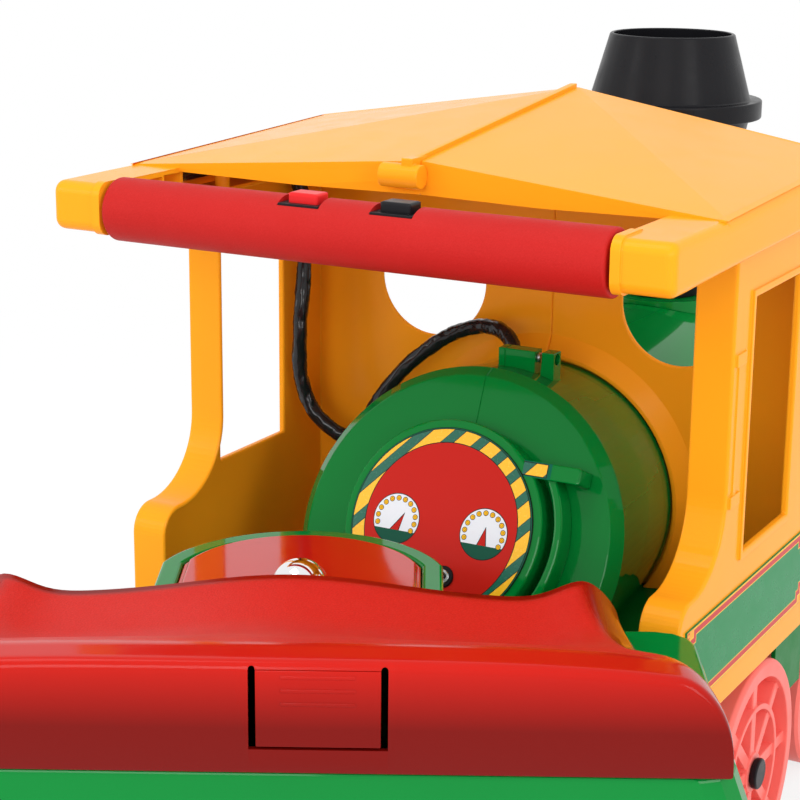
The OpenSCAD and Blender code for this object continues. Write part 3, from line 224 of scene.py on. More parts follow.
def build_brushed():
    """Fine turning lines of bare metal"""
    tree, given, made = new_group(
        "Turned metal",
        [("Colour", "NodeSocketColor", (0.6, 0.6, 0.6, 1)), ("Line scale", "NodeSocketFloat", 420.0)],
        [("Colour", "NodeSocketColor"), ("Roughness", "NodeSocketFloat"), ("Height", "NodeSocketFloat")])
    place = object_place(tree)
    drawn = add_node(tree, "ShaderNodeMapping", {"Vector": place, "Scale": LINE_STRETCH}, vector_type="POINT")
    lines = noise_node(tree, drawn.outputs[0], given.outputs["Line scale"], detail=2.0)
    cloud = noise_node(tree, place, scale=30.0, detail=3.0)
    shade = range_node(tree, cloud, *NOISE_SPAN, *METAL_SHADE)
    tinted = blend_node(tree, METAL_TINT, given.outputs["Colour"], shade, "MULTIPLY")
    tree.links.new(tinted, made.inputs["Colour"])
    tree.links.new(range_node(tree, lines, *NOISE_SPAN, *METAL_GLOSS), made.inputs["Roughness"])
    tree.links.new(lines, made.inputs["Height"])
    return tree


GROUPS = {}
MATERIALS = {}


def place_group(tree, name, builder, **values):
    if name not in GROUPS:
        GROUPS[name] = builder()
    node = tree.nodes.new("ShaderNodeGroup")
    node.node_tree = GROUPS[name]
    for key, value in values.items():
        node.inputs[key.replace("_", " ").capitalize()].default_value = value
    return node


def blank_material(name, colour):
    material = bpy.data.materials.new(name)
    material.use_nodes = True
    material.diffuse_color = (*colour, 1)
    return material, material.node_tree, material.node_tree.nodes["Principled BSDF"]


def bump_into(tree, shader, height, strength, distance):
    bump = add_node(tree, "ShaderNodeBump", {"Strength": strength, "Distance": distance, "Height": height})
    tree.links.new(bump.outputs[0], shader.inputs["Normal"])


def place_skin(tree, colour, tint, low, high, **values):
    return place_group(tree, "Moulded skin", build_moulded_skin, colour=(*colour, 1), tint=tint,
                       gloss_low=low, gloss_high=high, **values)


def link_skin(tree, shader, skin):
    tree.links.new(skin.outputs["Colour"], shader.inputs["Base Color"])
    tree.links.new(skin.outputs["Roughness"], shader.inputs["Roughness"])


# How much a plain plastic mirrors, how rough its clear coat is, and how deep the peel's bump goes
MIRROR, COAT_ROUGH, PEEL_DEPTH = 0.14, 0.06, 0.0006


def moulded(name, colour, low, high, tint=0.35, peel=0.08, coat=0.0, peel_scale=160.0, mirror=MIRROR):
    """Smooth plastic, of a roughness between low and high"""
    material, tree, shader = blank_material(name, colour)
    skin = place_skin(tree, colour, tint, low, high, peel_scale=peel_scale)
    link_skin(tree, shader, skin)
    bump_into(tree, shader, skin.outputs["Height"], peel, PEEL_DEPTH)
    set_inputs(shader, {"Specular IOR Level": mirror, "Coat Weight": coat, "Coat Roughness": COAT_ROUGH})
    return material


def paler(colour, gain):
    """Colour of the lit tips of a grain"""
    return tuple(min(1.0, c * gain + 0.02) for c in colour) + (1,)


# The sleeve's tint, share of painted highlights on the grain's tips, their paleness and grain depth
GRIP_TINT, GRIP_TIP_HIGHLIGHT, GRIP_HIGHLIGHT_GAIN, GRIP_DEPTH = 0.3, 0.22, 1.7, 0.0004


def grained(name, colour, low, high, scale, depth):
    """Matt plastic with a fine grain and painted highlights on the grain's tips"""
    material, tree, shader = blank_material(name, colour)
    skin = place_skin(tree, colour, GRIP_TINT, low, high)
    grain = place_group(tree, "Fine grain", build_fine_grain, scale=scale)
    share = sum_node(tree, "MULTIPLY", grain.outputs["Tip highlights"], GRIP_TIP_HIGHLIGHT)
    # Painted highlights: the grain's tips are blended to a paler colour
    tip_highlights = blend_node(tree, share, skin.outputs["Colour"], paler(colour, GRIP_HIGHLIGHT_GAIN))
    tree.links.new(tip_highlights, shader.inputs["Base Color"])
    tree.links.new(skin.outputs["Roughness"], shader.inputs["Roughness"])
    bump_into(tree, shader, grain.outputs["Height"], depth, GRIP_DEPTH)
    set_inputs(shader, {"Specular IOR Level": MIRROR})
    return material


# Heights in metres between which painted shade darkens the seat's rear face towards the bottom, and how dark
# the painted shade gets
REAR_SHADE_HEIGHTS = (0.350, 0.389)
REAR_SHADE_DEPTH = 0.34
# The pan's tint, grain, share of painted highlights on the grain's tips, their paleness, added roughness and
# bump
SEAT_TINT, SEAT_GRAIN, PAN_TIP_HIGHLIGHT, PAN_HIGHLIGHT_GAIN, PAN_ROUGH = 0.3, 820.0, 0.28, 1.6, 0.36
PAN_BUMP, PAN_DEPTH = 0.35, 0.0005
SEAT_GLOSS = (0.1, 0.17)


def seat_skin(name, colour):
    """Grained in the pan with painted highlights on the grain's tips, glossy on the lip, and with painted
    shade darkening the rear face towards the bottom
    """
    material, tree, shader = blank_material(name, colour)
    skin = place_skin(tree, colour, SEAT_TINT, *SEAT_GLOSS)
    grain = place_group(tree, "Fine grain", build_fine_grain, scale=SEAT_GRAIN)
    pan = add_node(tree, "ShaderNodeAttribute", attribute_name="pan").outputs["Fac"]
    # Painted highlights on the grain's tips, only in the pan
    tip_highlights = sum_node(tree, "MULTIPLY", grain.outputs["Tip highlights"], sum_node(tree, "MULTIPLY", pan, PAN_TIP_HIGHLIGHT))
    height = add_node(tree, "ShaderNodeSeparateXYZ", {0: object_place(tree)}).outputs["Z"]
    outside = sum_node(tree, "SUBTRACT", 1.0, pan)
    # Painted shade: outside the pan, the rear face is darkened towards its bottom
    painted_shade = sum_node(tree, "MULTIPLY", outside, range_node(tree, height, *REAR_SHADE_HEIGHTS, 1.0, 0.0))
    plain = blend_node(tree, painted_shade, skin.outputs["Colour"], tuple(c * REAR_SHADE_DEPTH for c in colour) + (1,))
    tree.links.new(blend_node(tree, tip_highlights, plain, paler(colour, PAN_HIGHLIGHT_GAIN)), shader.inputs["Base Color"])
    gloss = sum_node(tree, "ADD", skin.outputs["Roughness"], sum_node(tree, "MULTIPLY", pan, PAN_ROUGH))
    tree.links.new(gloss, shader.inputs["Roughness"])
    relief = sum_node(tree, "MULTIPLY", grain.outputs["Height"], pan)
    bump_into(tree, shader, relief, PAN_BUMP, PAN_DEPTH)
    set_inputs(shader, {"Specular IOR Level": MIRROR})
    return material


LINE_BUMP, LINE_DEPTH = 0.08, 0.0002
CHROME_GLOSS = (0.03, 0.09)


def bare_metal(name, colour):
    material, tree, shader = blank_material(name, colour)
    lines = place_group(tree, "Turned metal", build_brushed, colour=(*colour, 1))
    link_skin(tree, shader, lines)
    bump_into(tree, shader, lines.outputs["Height"], LINE_BUMP, LINE_DEPTH)
    set_inputs(shader, {"Metallic": 1.0})
    return material


def chrome_skin(name, colour):
    material, tree, shader = blank_material(name, colour)
    smear = noise_node(tree, object_place(tree), scale=60.0, detail=4.0)
    tree.links.new(range_node(tree, smear, *NOISE_SPAN, *CHROME_GLOSS), shader.inputs["Roughness"])
    set_inputs(shader, {"Base Color": (*colour, 1), "Metallic": 1.0})
    return material


# Millimetres of a print to one unit of its map, and the dark rim of a stripe as a share of the pitch
PRINT_MAP = 100.0
STRIPE_RIM, STRIPE_RIM_COLOUR, STRIPE_GLOSS = 0.016, (0.01, 0.02, 0.01, 1), (0.2, 0.3)


def striped(name, dark, bright, pitch, share, angle):
    """Slanted warning stripes, measured in millimetres on the print's own map"""
    material, tree, shader = blank_material(name, bright)
    place = add_node(tree, "ShaderNodeTexCoord").outputs["UV"]
    slant = (math.cos(angle) / pitch * PRINT_MAP, math.sin(angle) / pitch * PRINT_MAP, 0)
    along = add_node(tree, "ShaderNodeVectorMath", {0: place, 1: slant}, operation="DOT_PRODUCT")
    wave = sum_node(tree, "FRACT", along.outputs["Value"])
    mask = sum_node(tree, "LESS_THAN", wave, share)
    centre = sum_node(tree, "ABSOLUTE", sum_node(tree, "SUBTRACT", wave, share / 2))
    off = sum_node(tree, "ABSOLUTE", sum_node(tree, "SUBTRACT", centre, share / 2))
    rim = sum_node(tree, "LESS_THAN", off, STRIPE_RIM)
    stripes = blend_node(tree, mask, (*bright, 1), (*dark, 1))
    tree.links.new(blend_node(tree, rim, stripes, STRIPE_RIM_COLOUR), shader.inputs["Base Color"])
    cloud = noise_node(tree, place, scale=30.0, detail=3.0)
    tree.links.new(range_node(tree, cloud, *NOISE_SPAN, *STRIPE_GLOSS), shader.inputs["Roughness"])
    return material


def make_materials(colours):
    green, red, black = tuple(colours.green), tuple(colours.red), tuple(colours.black)
    MATERIALS.update({
        "orange": moulded("Orange plastic", tuple(colours.orange), 0.17, 0.25, tint=0.2, peel=0.015,
                          peel_scale=60.0, mirror=0.1),
        "green": moulded("Green plastic", green, 0.05, 0.09, peel=0.02, coat=0.12, peel_scale=45.0),
        "chassis": moulded("Chassis green", tuple(c * 0.9 for c in green), 0.3, 0.45, tint=0.5, peel=0.12),
        "red": moulded("Red plastic", red, 0.06, 0.11, tint=0.25, peel=0.02, coat=0.3, peel_scale=45.0,
                       mirror=0.25),
        "seat": seat_skin("Saddle red", red),
        "wheel_red": moulded("Wheel plastic", tuple(colours.wheel), 0.28, 0.42, tint=0.4, peel=0.1),
        "grip_red": grained("Grip sleeve", tuple(colours.grip), 0.48, 0.6, 1500.0, 0.3),
        "button_red": moulded("Button red", (0.72, 0.018, 0.02), 0.25, 0.35, tint=0.2, peel=0.06),
        "black": moulded("Black plastic", black, 0.24, 0.38, tint=0.5, peel=0.1),
        "dark_plastic": moulded("Dark plastic", (0.05, 0.05, 0.055), 0.4, 0.55, tint=0.5, peel=0.15),
        "white_plastic": moulded("White plastic", (0.72, 0.71, 0.67), 0.35, 0.5, tint=0.4, peel=0.1),
        "cable": moulded("Sleeve plastic", black, 0.16, 0.26, tint=0.4, peel=0.5, coat=0.4, peel_scale=75.0),
        "steel": bare_metal("Bare steel", (0.58, 0.58, 0.59)),
        "brass": bare_metal("Pinion brass", (0.72, 0.52, 0.2)),
        "chrome": chrome_skin("Dome chrome", (0.86, 0.86, 0.87)),
        "gold": moulded("Lamp gold", (0.78, 0.47, 0.05), 0.22, 0.34, tint=0.4, peel=0.08, coat=0.3),
        "lens": moulded("Lamp lens", (0.9, 0.85, 0.66), 0.08, 0.16, tint=0.3, peel=0.03, coat=0.6),
        "sign": moulded("Sign green", (0.0, 0.22, 0.06), 0.24, 0.34, tint=0.2, peel=0.03),
        "print_red": moulded("Print red", (0.54, 0.014, 0.008), 0.16, 0.24, tint=0.15, peel=0.03),
        "print_black": moulded("Print black", (0.012, 0.014, 0.013), 0.2, 0.3, tint=0.2, peel=0.03),
        "print_white": moulded("Print white", (0.80, 0.82, 0.88), 0.18, 0.26, tint=0.15, peel=0.03),
        "print_yellow": moulded("Print yellow", tuple(colours.yellow), 0.18, 0.26, tint=0.15, peel=0.03),
        "print_teal": moulded("Print teal", (0.0, 0.127, 0.07), 0.14, 0.22, tint=0.2, peel=0.02),
        "print_green": moulded("Print green", (0.006, 0.085, 0.05), 0.18, 0.26, tint=0.3, peel=0.03),
        "stripes": striped("Print stripes", (0.004, 0.125, 0.075), tuple(colours.yellow), 19.5, 0.4,
                           math.radians(-42)),
    })
    MATERIALS["dial"] = MATERIALS["print_red"]


# Mesh helpers


def add_object(name, data):
    thing = bpy.data.objects.new(name, data)
    bpy.context.scene.collection.objects.link(thing)
    return thing


def link_piece(name, mesh, body, materials):
    piece = add_object(name, mesh)
    for key in materials:
        mesh.materials.append(MATERIALS[key])
    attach(piece, body)
    return piece


def smooth_by_angle(mesh, degrees=40):
    mesh.shade_smooth()
    mesh.set_sharp_from_angle(angle=math.radians(degrees))


def bake_modifiers(piece):
    graph = bpy.context.evaluated_depsgraph_get()
    old = piece.data
    piece.data = bpy.data.meshes.new_from_object(piece.evaluated_get(graph))
    piece.modifiers.clear()
    bpy.data.meshes.remove(old)


# Shares of a face's depth, of a lone side and of an edge's length that a rounding may take
FACE_SHARE, LONE_SHARE, EDGE_SHARE = 0.45, 0.3, 0.9
# Turns in a face beyond which two sharp edges count as one run
STRAIGHT_TURN, CHAIN_TURN = math.radians(150), math.radians(145)
# Floors for a corner's turn and sine, and the cosine below which two sides of a face run against each other
LEAST_TURN, LEAST_SINE, FACING = 0.001, 0.02, -0.2
# Narrower roundings are left out, in metres
LEAST_ROUND = 0.00012
# Tries of a rounding: share of its width, faces cut convex first, Blender's own clamp
ROUND_TRIES = ((1.0, False, False), (1.0, True, False), (1.0, False, True), (0.5, True, False),
               (0.4, False, True))
# Badly shaded area in square metres that a try may leave
FAULT_LIMIT = 45e-6
# Points closer than this, in metres, become one, and so do faces that turn less
WELD, FLAT_TURN = 2e-6, math.radians(0.6)
# Share of the rounding's width beyond which a point counts as thrown off the moulding
THROWN_SHARE = 0.4
# Steps of a rolled rim, and the least cosine that its mitre is divided by
ROLL_STEPS, LEAST_MITRE = 6, 0.4
# How straight a flat side faces outwards, and how close to half the width it lies, in metres
FLAT_NORMAL, FLAT_REACH = 0.999, 1e-5


def face_room(loop, sharp):
    """How wide the rounding of a loop's edge may be before its face runs out"""
    room, shrink = 1.0, 0.0
    for corner, other in ((loop, loop.link_loop_prev.edge), (loop.link_loop_next, loop.link_loop_next.edge)):
        turn, reach = corner.calc_angle(), other.calc_length()
        if not corner.is_convex:
            if other not in sharp:
                room = min(room, LONE_SHARE * reach)
        elif other in sharp:
            shrink += 1 / max(math.tan(turn / 2), LEAST_TURN)
            if turn < STRAIGHT_TURN:
                room = min(room, FACE_SHARE * reach * math.sin(turn))
        else:
            shrink += max(0.0, 1 / math.tan(max(turn, LEAST_TURN)))
            room = min(room, FACE_SHARE * reach * max(math.sin(turn), LEAST_SINE))
    return min(room, EDGE_SHARE * loop.edge.calc_length() / shrink) if shrink > 0 else room


def edge_gap(first, second):
    """Least distance between two edges that do not cross"""
    least = 1.0
    for carrier, other in ((first, second), (second, first)):
        start, end = (vertex.co for vertex in carrier.verts)
        for vertex in other.verts:
            spot, share = intersect_point_line(vertex.co, start, end)
            spot = start if share < 0 else end if share > 1 else spot
            least = min(least, (vertex.co - spot).length)
    return least


def edge_rounds(shape, width, angle, stay):
    """Rounding of each sharp edge, held back where its faces leave too little room"""
    sharp = {}
    for edge in shape.edges:
        turned = len(edge.link_faces) == 2 and edge.calc_face_angle(0.0) > angle
        if turned and not (stay and stay(edge.verts[0].co)):
            sharp[edge] = width
    for edge in sharp:
        sharp[edge] = min(sharp[edge], *(face_room(loop, sharp) for loop in edge.link_loops))
    for face in shape.faces:
        sides = [(loop.edge, (loop.link_loop_next.vert.co - loop.vert.co).normalized())
                 for loop in face.loops if loop.edge in sharp]
        for i, (first, way) in enumerate(sides):
            for second, back in sides[i + 1:]:
                if way.dot(back) < FACING and not set(first.verts) & set(second.verts):
                    room = FACE_SHARE * edge_gap(first, second)
                    sharp[first], sharp[second] = min(sharp[first], room), min(sharp[second], room)
    return even_chains(shape, sharp)


def even_chains(shape, sharp):
    """Edges that run on smoothly from one another get the least width among them"""
    leader = {edge: edge for edge in sharp}

    def head(edge):
        while leader[edge] is not edge:
            edge = leader[edge]
        return edge

    for face in shape.faces:
        for loop in face.loops:
            first, second = loop.link_loop_prev.edge, loop.edge
            if first in sharp and second in sharp and loop.calc_angle() > CHAIN_TURN:
                leader[head(first)] = head(second)
    least = {}
    for edge, size in sharp.items():
        least[head(edge)] = min(size, least.get(head(edge), size))
    return {edge: least[head(edge)] for edge in sharp if least[head(edge)] > LEAST_ROUND}


def roll_rim(shape, half, reach):
    """Rolls the rim of a flat side at half the width over into the faces round it, by reach(point)"""
    shape.verts.index_update()
    points = [vertex.co.copy() for vertex in shape.verts]
    flat = dict.fromkeys(face for face in shape.faces if abs(face.normal.y) > FLAT_NORMAL
                         and abs(abs(face.calc_center_median().y) - half) < FLAT_REACH)
    rim = [loop for face in flat for loop in face.loops if len(loop.edge.link_faces) == 2
           and sum(other in flat for other in loop.edge.link_faces) == 1]
    inward, aside = {}, {}
    for loop in rim:
        face = loop.face
        other = next(f for f in loop.edge.link_faces if f is not face)
        ends = (loop.vert.index, loop.link_loop_next.vert.index)
        along = (points[ends[1]] - points[ends[0]]).normalized()
        for end in ends:
            inward.setdefault(end, []).append(face.normal.cross(along))
            aside.setdefault(end, []).append(along.cross(other.normal))
    rows = {}
    for index, ways in inward.items():
        size, spot = reach(points[index]), points[index]
        if size > 0:
            mean = sum(ways, Vector()).normalized()
            mitre = mean / max(LEAST_MITRE, mean.dot(ways[0]))
            low, top = spot + sum(aside[index], Vector()).normalized() * size, spot + mitre * size
            rows[index] = [len(points) + k for k in range(ROLL_STEPS + 1)]
            points += [low * (1 - u) ** 2 + spot * 2 * u * (1 - u) + top * u * u
                       for u in (k / ROLL_STEPS for k in range(ROLL_STEPS + 1))]
    still = {index: [index] * (ROLL_STEPS + 1) for index in inward if index not in rows}
    faces = []
    for face in shape.faces:
        end = -1 if face in flat else 0
        faces.append([rows[v.index][end] if v.index in rows else v.index for v in face.verts])
    for loop in rim:
        first, second = ((rows.get(v.index) or still[v.index]) for v in (loop.vert, loop.link_loop_next.vert))
        for k in range(ROLL_STEPS):
            ring = [first[k], second[k], second[k + 1], first[k + 1]]
            corners = [c for n, c in enumerate(ring) if c not in ring[:n]]
            if len(corners) > 2:
                faces.append(corners)
    rolled = bmesh.new()
    mesh = mesh_from("rolled", points, faces)
    rolled.from_mesh(mesh)
    bpy.data.meshes.remove(mesh)
    shape.free()
    bmesh.ops.delete(rolled, geom=[v for v in rolled.verts if not v.link_faces], context="VERTS")
    bmesh.ops.recalc_face_normals(rolled, faces=rolled.faces)
    return rolled


def pull_back(mesh, surface, reach):
    """Lays points that a crowded corner threw off the moulding back on it"""
    for vertex in mesh.vertices:
        spot, _, _, gap = surface.find_nearest(vertex.co)
        if gap > reach:
            vertex.co = spot


def shade_faults(mesh):
    """Area of the triangles whose shading points against them"""
    mesh.calc_loop_triangles()
    total = 0.0
    for triangle in mesh.loop_triangles:
        a, b, c = (mesh.vertices[index].co for index in triangle.vertices)
        across = (b - a).cross(c - a)
        if min(mesh.corner_normals[index].vector.dot(across) for index in triangle.loops) < 0:
            total += across.length / 2
    return total


def rounded_copy(piece, node, width, convex, clamp, segments, angle, half, reach, stay):
    """Lays a rounded copy of a CAD moulding in the piece and tells how much of it shades badly"""
    mesh = frame["nodes"][node].data.copy()
    shape = bmesh.new()
    shape.from_mesh(mesh)
    bmesh.ops.remove_doubles(shape, verts=shape.verts, dist=WELD)
    bmesh.ops.dissolve_limit(shape, angle_limit=FLAT_TURN, verts=shape.verts, edges=shape.edges)
    if reach:
        shape = roll_rim(shape, half, reach)
    if convex:
        bmesh.ops.connect_verts_concave(shape, faces=shape.faces)
    weight = shape.edges.layers.float.new("bevel_weight_edge")
    rounds = edge_rounds(shape, width, math.radians(angle), stay)
    for edge in shape.edges:
        edge.smooth = edge in rounds or edge.calc_face_angle(0.0) <= math.radians(angle)
    widest = max(rounds.values())
    for edge, size in rounds.items():
        edge[weight] = size / widest
    surface = BVHTree.FromBMesh(shape)
    shape.to_mesh(mesh)
    shape.free()
    mesh.materials.clear()
    if mesh.has_custom_normals:
        mesh.normals_split_custom_set([(0, 0, 0)] * len(mesh.loops))
    old = piece.data
    piece.data = mesh
    bpy.data.meshes.remove(old)
    bevel = piece.modifiers.new("Edges", "BEVEL")
    bevel.width = widest
    bevel.segments = segments
    bevel.limit_method = "WEIGHT"
    bevel.use_clamp_overlap = clamp
    bake_modifiers(piece)
    pull_back(piece.data, surface, THROWN_SHARE * widest)
    piece.modifiers.new("Flat faces", "WEIGHTED_NORMAL").keep_sharp = True
    bake_modifiers(piece)
    return shade_faults(piece.data)


def soften(node, width, segments=2, material=None, angle=38.0, half=0.0, reach=None, stay=None):
    """A copy of a CAD moulding with its edges rounded, which stands for the node"""
    mesh = bpy.data.meshes.new(node + "_form")
    piece = link_piece(node + "_form", mesh, NODE_BODY[node], [])
    faults = {}
    for way in ROUND_TRIES:
        faults[way] = rounded_copy(piece, node, width * way[0], *way[1:], segments, angle, half, reach, stay)
        if faults[way] < FAULT_LIMIT:
            break
    else:
        way = min(faults, key=faults.get)
        rounded_copy(piece, node, width * way[0], *way[1:], segments, angle, half, reach, stay)
    cover(piece.data, material or NODE_SLOT[node])
    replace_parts(piece, node)


def cover(mesh, key):
    """Gives all of a mesh one material"""
    mesh.materials.clear()
    mesh.materials.append(MATERIALS[key])
    for polygon in mesh.polygons:
        polygon.material_index = 0


def dress(*nodes):
    """Gives CAD nodes that keep their own shape their materials"""
    for node in nodes:
        cover(frame["nodes"][node].data, NODE_SLOT[node])


def mesh_from(name, points, faces, marks=None):
    mesh = bpy.data.meshes.new(name)
    mesh.from_pydata([tuple(p) for p in points], [], faces)
    if marks:
        for polygon, mark in zip(mesh.polygons, marks):
            polygon.material_index = mark
    mesh.validate()
    mesh.update()
    return mesh


def grid_faces(rows, cols, closed):
    """Four-sided faces between rows of points; closed rows run round"""
    return [(i * cols + k, i * cols + (k + 1) % cols, (i + 1) * cols + (k + 1) % cols, (i + 1) * cols + k)
            for i in range(rows - 1) for k in range(cols if closed else cols - 1)]


def lathe(profile, steps, place):
    """Points and faces of a turned form; place(a, r, h) gives a point in space"""
    points = [place(math.tau * k / steps, r, h) for r, h in profile for k in range(steps)]
    return points, grid_faces(len(profile), steps, True)


def box_outline(x0, x1, y0, y1):
    return [(x0, y0), (x1, y0), (x1, y1), (x0, y1)]


# Dash print

# The dash's middle in metres, and the lean of its face; what follows is in millimetres on that face
DASH = Vector((0.233, 0.0, 0.294))
TILT = math.radians(24)
DASH_OUT = Vector((-math.cos(TILT), 0, math.sin(TILT)))
DASH_UP = Vector((math.sin(TILT), 0, math.cos(TILT)))
# The plate's middle and radius, the boss's height and the plate's thickness
PLATE_UP, PLATE_R, BOSS_H, PLATE_T = 6.0, 79.0, 26.0, 1.6
PLATE_TOP = BOSS_H + PLATE_T
# Middles of the two straps, up the face
STRAP_UPS = (62.0, -47.0)
# The socket's place on the dash, its gap in the print, its hole in the plate and their steps
SOCKET_P, SOCKET_Q, SOCKET_GAP_R, SOCKET_HOLE_R, SOCKET_STEPS = 12, PLATE_UP - 39, 8.8, 8.55, 32
MARGIN_R, DISC_STEPS = 78.4, 128
# Layers of the disc: colour, lift, radius, and radius of the gap where it isn't the socket's
DISC_LAYERS = (("print_teal", 0.05, MARGIN_R, None), ("print_black", 0.1, 77.8, None),
               ("stripes", 0.15, 77.2, 66.9), ("print_red", 0.15, 66.2, None))
# The plate's rim: radius, and height from the plate's top
DISC_RIM = ((MARGIN_R, 0.0), (78.85, -0.25), (PLATE_R, -0.7), (PLATE_R, -PLATE_T))
# The gauges: side and lean of the needle, place, radius, black rim, level of the dark foot, lifts, steps
GAUGES = ((-1, 6.5), (1, 1.0))
GAUGE_P, GAUGE_Q, GAUGE_R, GAUGE_LINE, GAUGE_FOOT = 38.7, PLATE_UP - 0.6, 20.6, 0.7, -9.0
RIM_LIFT, FACE_LIFT, GAUGE_STEPS, FOOT_STEPS = 0.19, 0.26, 72, 36
# Beads round a gauge, angle of the first and between two in degrees, and each layer's lift, radius and steps
BEADS, BEAD_RING, BEAD_FIRST, BEAD_STEP = 12, 16.6, 197, 20.5
BEAD_LAYERS = (("print_black", 0.33, 2.25, 20), ("print_yellow", 0.4, 1.75, 20),
               ("print_black", 0.45, 0.95, 14), ("print_yellow", 0.5, 0.7, 14))
# Layers of a needle: lift, half width at the foot, shift and height of the tip
NEEDLE_LAYERS = (("print_black", 0.33, 4.2, 0.16, 6.26), ("print_red", 0.4, 3.4, 0.0, 4.5))
# Printed tabs on the straps: where they start, and each layer's lift, reach and half width
TAB_START = 60.0
TAB_LAYERS = (("print_teal", 0.1, 84.0, 6.2), ("print_black", 0.15, 81.0, 5.4), ("stripes", 0.2, 80.3, 4.8))


def dash_spot(p, q, h):
    """Point of the dash: p to the rider's right, q up the face, h out of it, in millimetres"""
    return DASH + (Vector((0, -1, 0)) * p + DASH_UP * q + DASH_OUT * h) * MM


def under_print(spot):
    """True for what the dash plate hides"""
    away = spot - DASH
    return math.hypot(away.y, away.dot(DASH_UP) - PLATE_UP * MM) < PLATE_R * MM


def ring_line(p, q, r, steps=64, start=0.0, sweep=math.tau):
    count = steps if sweep >= math.tau else steps + 1
    return [(p + r * math.cos(start + sweep * k / steps), q + r * math.sin(start + sweep * k / steps))
            for k in range(count)]


class PrintSheet:
    """Thin printed shapes laid over each other on one face"""

    def __init__(self, spot):
        self.spot, self.points, self.faces, self.marks, self.maps, self.keys = spot, [], [], [], [], []

    def lay(self, key, h, outline, *holes):
        if key not in self.keys:
            self.keys.append(key)
        loops = [outline, *holes]
        flat = [xy for loop in loops for xy in loop]
        base = len(self.points)
        self.points += [self.spot(x, y, h) for x, y in flat]
        self.maps += [(x / PRINT_MAP, y / PRINT_MAP) for x, y in flat]
        for tri in tessellate_polygon([[Vector((x, y, 0)) for x, y in loop] for loop in loops]):
            a, b, c = (flat[i] for i in tri)
            turn = (b[0] - a[0]) * (c[1] - a[1]) - (b[1] - a[1]) * (c[0] - a[0])
            order = tri if turn > 0 else tri[::-1]
            self.faces.append(tuple(base + i for i in order))
            self.marks.append(self.keys.index(key))

    def piece(self, name, body, slot):
        mesh = mesh_from(name, self.points, self.faces, self.marks)
        layer = mesh.uv_layers.new(name="print")
        for loop in mesh.loops:
            layer.data[loop.index].uv = self.maps[loop.vertex_index]
        return link_piece(name, mesh, body, self.keys)


def make_dash_print():
    """Margin, stripes, red field, two gauges and the tabs on the straps"""
    sheet = PrintSheet(dash_spot)
    top = PLATE_TOP
    socket = ring_line(SOCKET_P, SOCKET_Q, SOCKET_GAP_R, SOCKET_STEPS)
    for key, h, r, gap in DISC_LAYERS:
        hole = ring_line(0, PLATE_UP, gap, DISC_STEPS) if gap else socket
        sheet.lay(key, top + h, ring_line(0, PLATE_UP, r, DISC_STEPS), hole)
    for side, lean in GAUGES:
        p, q, r = GAUGE_P * side, GAUGE_Q, GAUGE_R - GAUGE_LINE
        chord = math.asin(GAUGE_FOOT / r)
        foot = ring_line(p, q, r, FOOT_STEPS, math.pi - chord, math.pi + 2 * chord)
        sheet.lay("print_black", top + RIM_LIFT, ring_line(p, q, GAUGE_R, GAUGE_STEPS))
        sheet.lay("print_white", top + FACE_LIFT, ring_line(p, q, r, GAUGE_STEPS, chord, math.pi - 2 * chord))
        sheet.lay("print_green", top + FACE_LIFT, foot)
        for k in range(BEADS):
            a = math.radians(BEAD_FIRST - k * BEAD_STEP)
            spot = p + BEAD_RING * math.cos(a), q + BEAD_RING * math.sin(a)
            for key, h, bead, steps in BEAD_LAYERS:
                sheet.lay(key, top + h, ring_line(*spot, bead, steps))
        for key, h, half, shift, tip in NEEDLE_LAYERS:
            sheet.lay(key, top + h, [(p - half, q + GAUGE_FOOT), (p + half, q + GAUGE_FOOT),
                                     (p + lean + shift, q + tip)])
    for mid in STRAP_UPS:
        for key, h, reach, half in TAB_LAYERS:
            sheet.lay(key, BOSS_H + h, box_outline(TAB_START, reach, mid - half, mid + half))
    sheet.piece("dash_print", "loco", "dial")


def turned_about(p, q):
    """Places the points of a form turned about a spot of the dash"""
    return lambda a, r, h: dash_spot(p + r * math.cos(a), q + r * math.sin(a), h)


def make_dash_disc():
    """The plate that carries the print, with a rounded rim and the socket's hole"""
    sheet = PrintSheet(dash_spot)
    hole = ring_line(SOCKET_P, SOCKET_Q, SOCKET_HOLE_R, SOCKET_STEPS)
    sheet.lay("print_black", PLATE_TOP, ring_line(0, PLATE_UP, MARGIN_R, DISC_STEPS), hole)
    base = len(sheet.points)
    rims = [(r, PLATE_TOP + h) for r, h in DISC_RIM]
    points, faces = lathe(rims, DISC_STEPS, turned_about(0, PLATE_UP))
    sheet.points += points
    sheet.maps += [(0, 0)] * len(points)
    sheet.faces += [tuple(base + i for i in face[::-1]) for face in faces]
    sheet.marks += [0] * len(faces)
    piece = sheet.piece("dash_disc", "loco", "dial")
    smooth_by_angle(piece.data)
    return piece


# Height of the socket's mouth over the plate
SOCKET_MOUTH = 2.0
# Radius and height from the mouth along the socket's contact, from its collar in to its pin
CONTACT = ((5.6, -0.3), (5.6, 0.3), (5.3, 0.6), (3.7, 0.6), (3.35, 0.3), (3.25, -1.0), (3.1, -7.0),
           (1.1, -7.0), (1.1, -1.4), (0.7, -0.9), (0.01, -0.8))


def make_socket_pin():
    """Metal contact and collar in the mouth of the charging socket"""
    profile = [(r, PLATE_TOP + SOCKET_MOUTH + h) for r, h in CONTACT]
    points, faces = lathe(profile, SOCKET_STEPS, turned_about(SOCKET_P, SOCKET_Q))
    mesh = mesh_from("socket_pin", points, [face[::-1] for face in faces])
    smooth_by_angle(mesh)
    link_piece("socket_pin", mesh, "loco", ["steel"])


# Signs on the cab sides

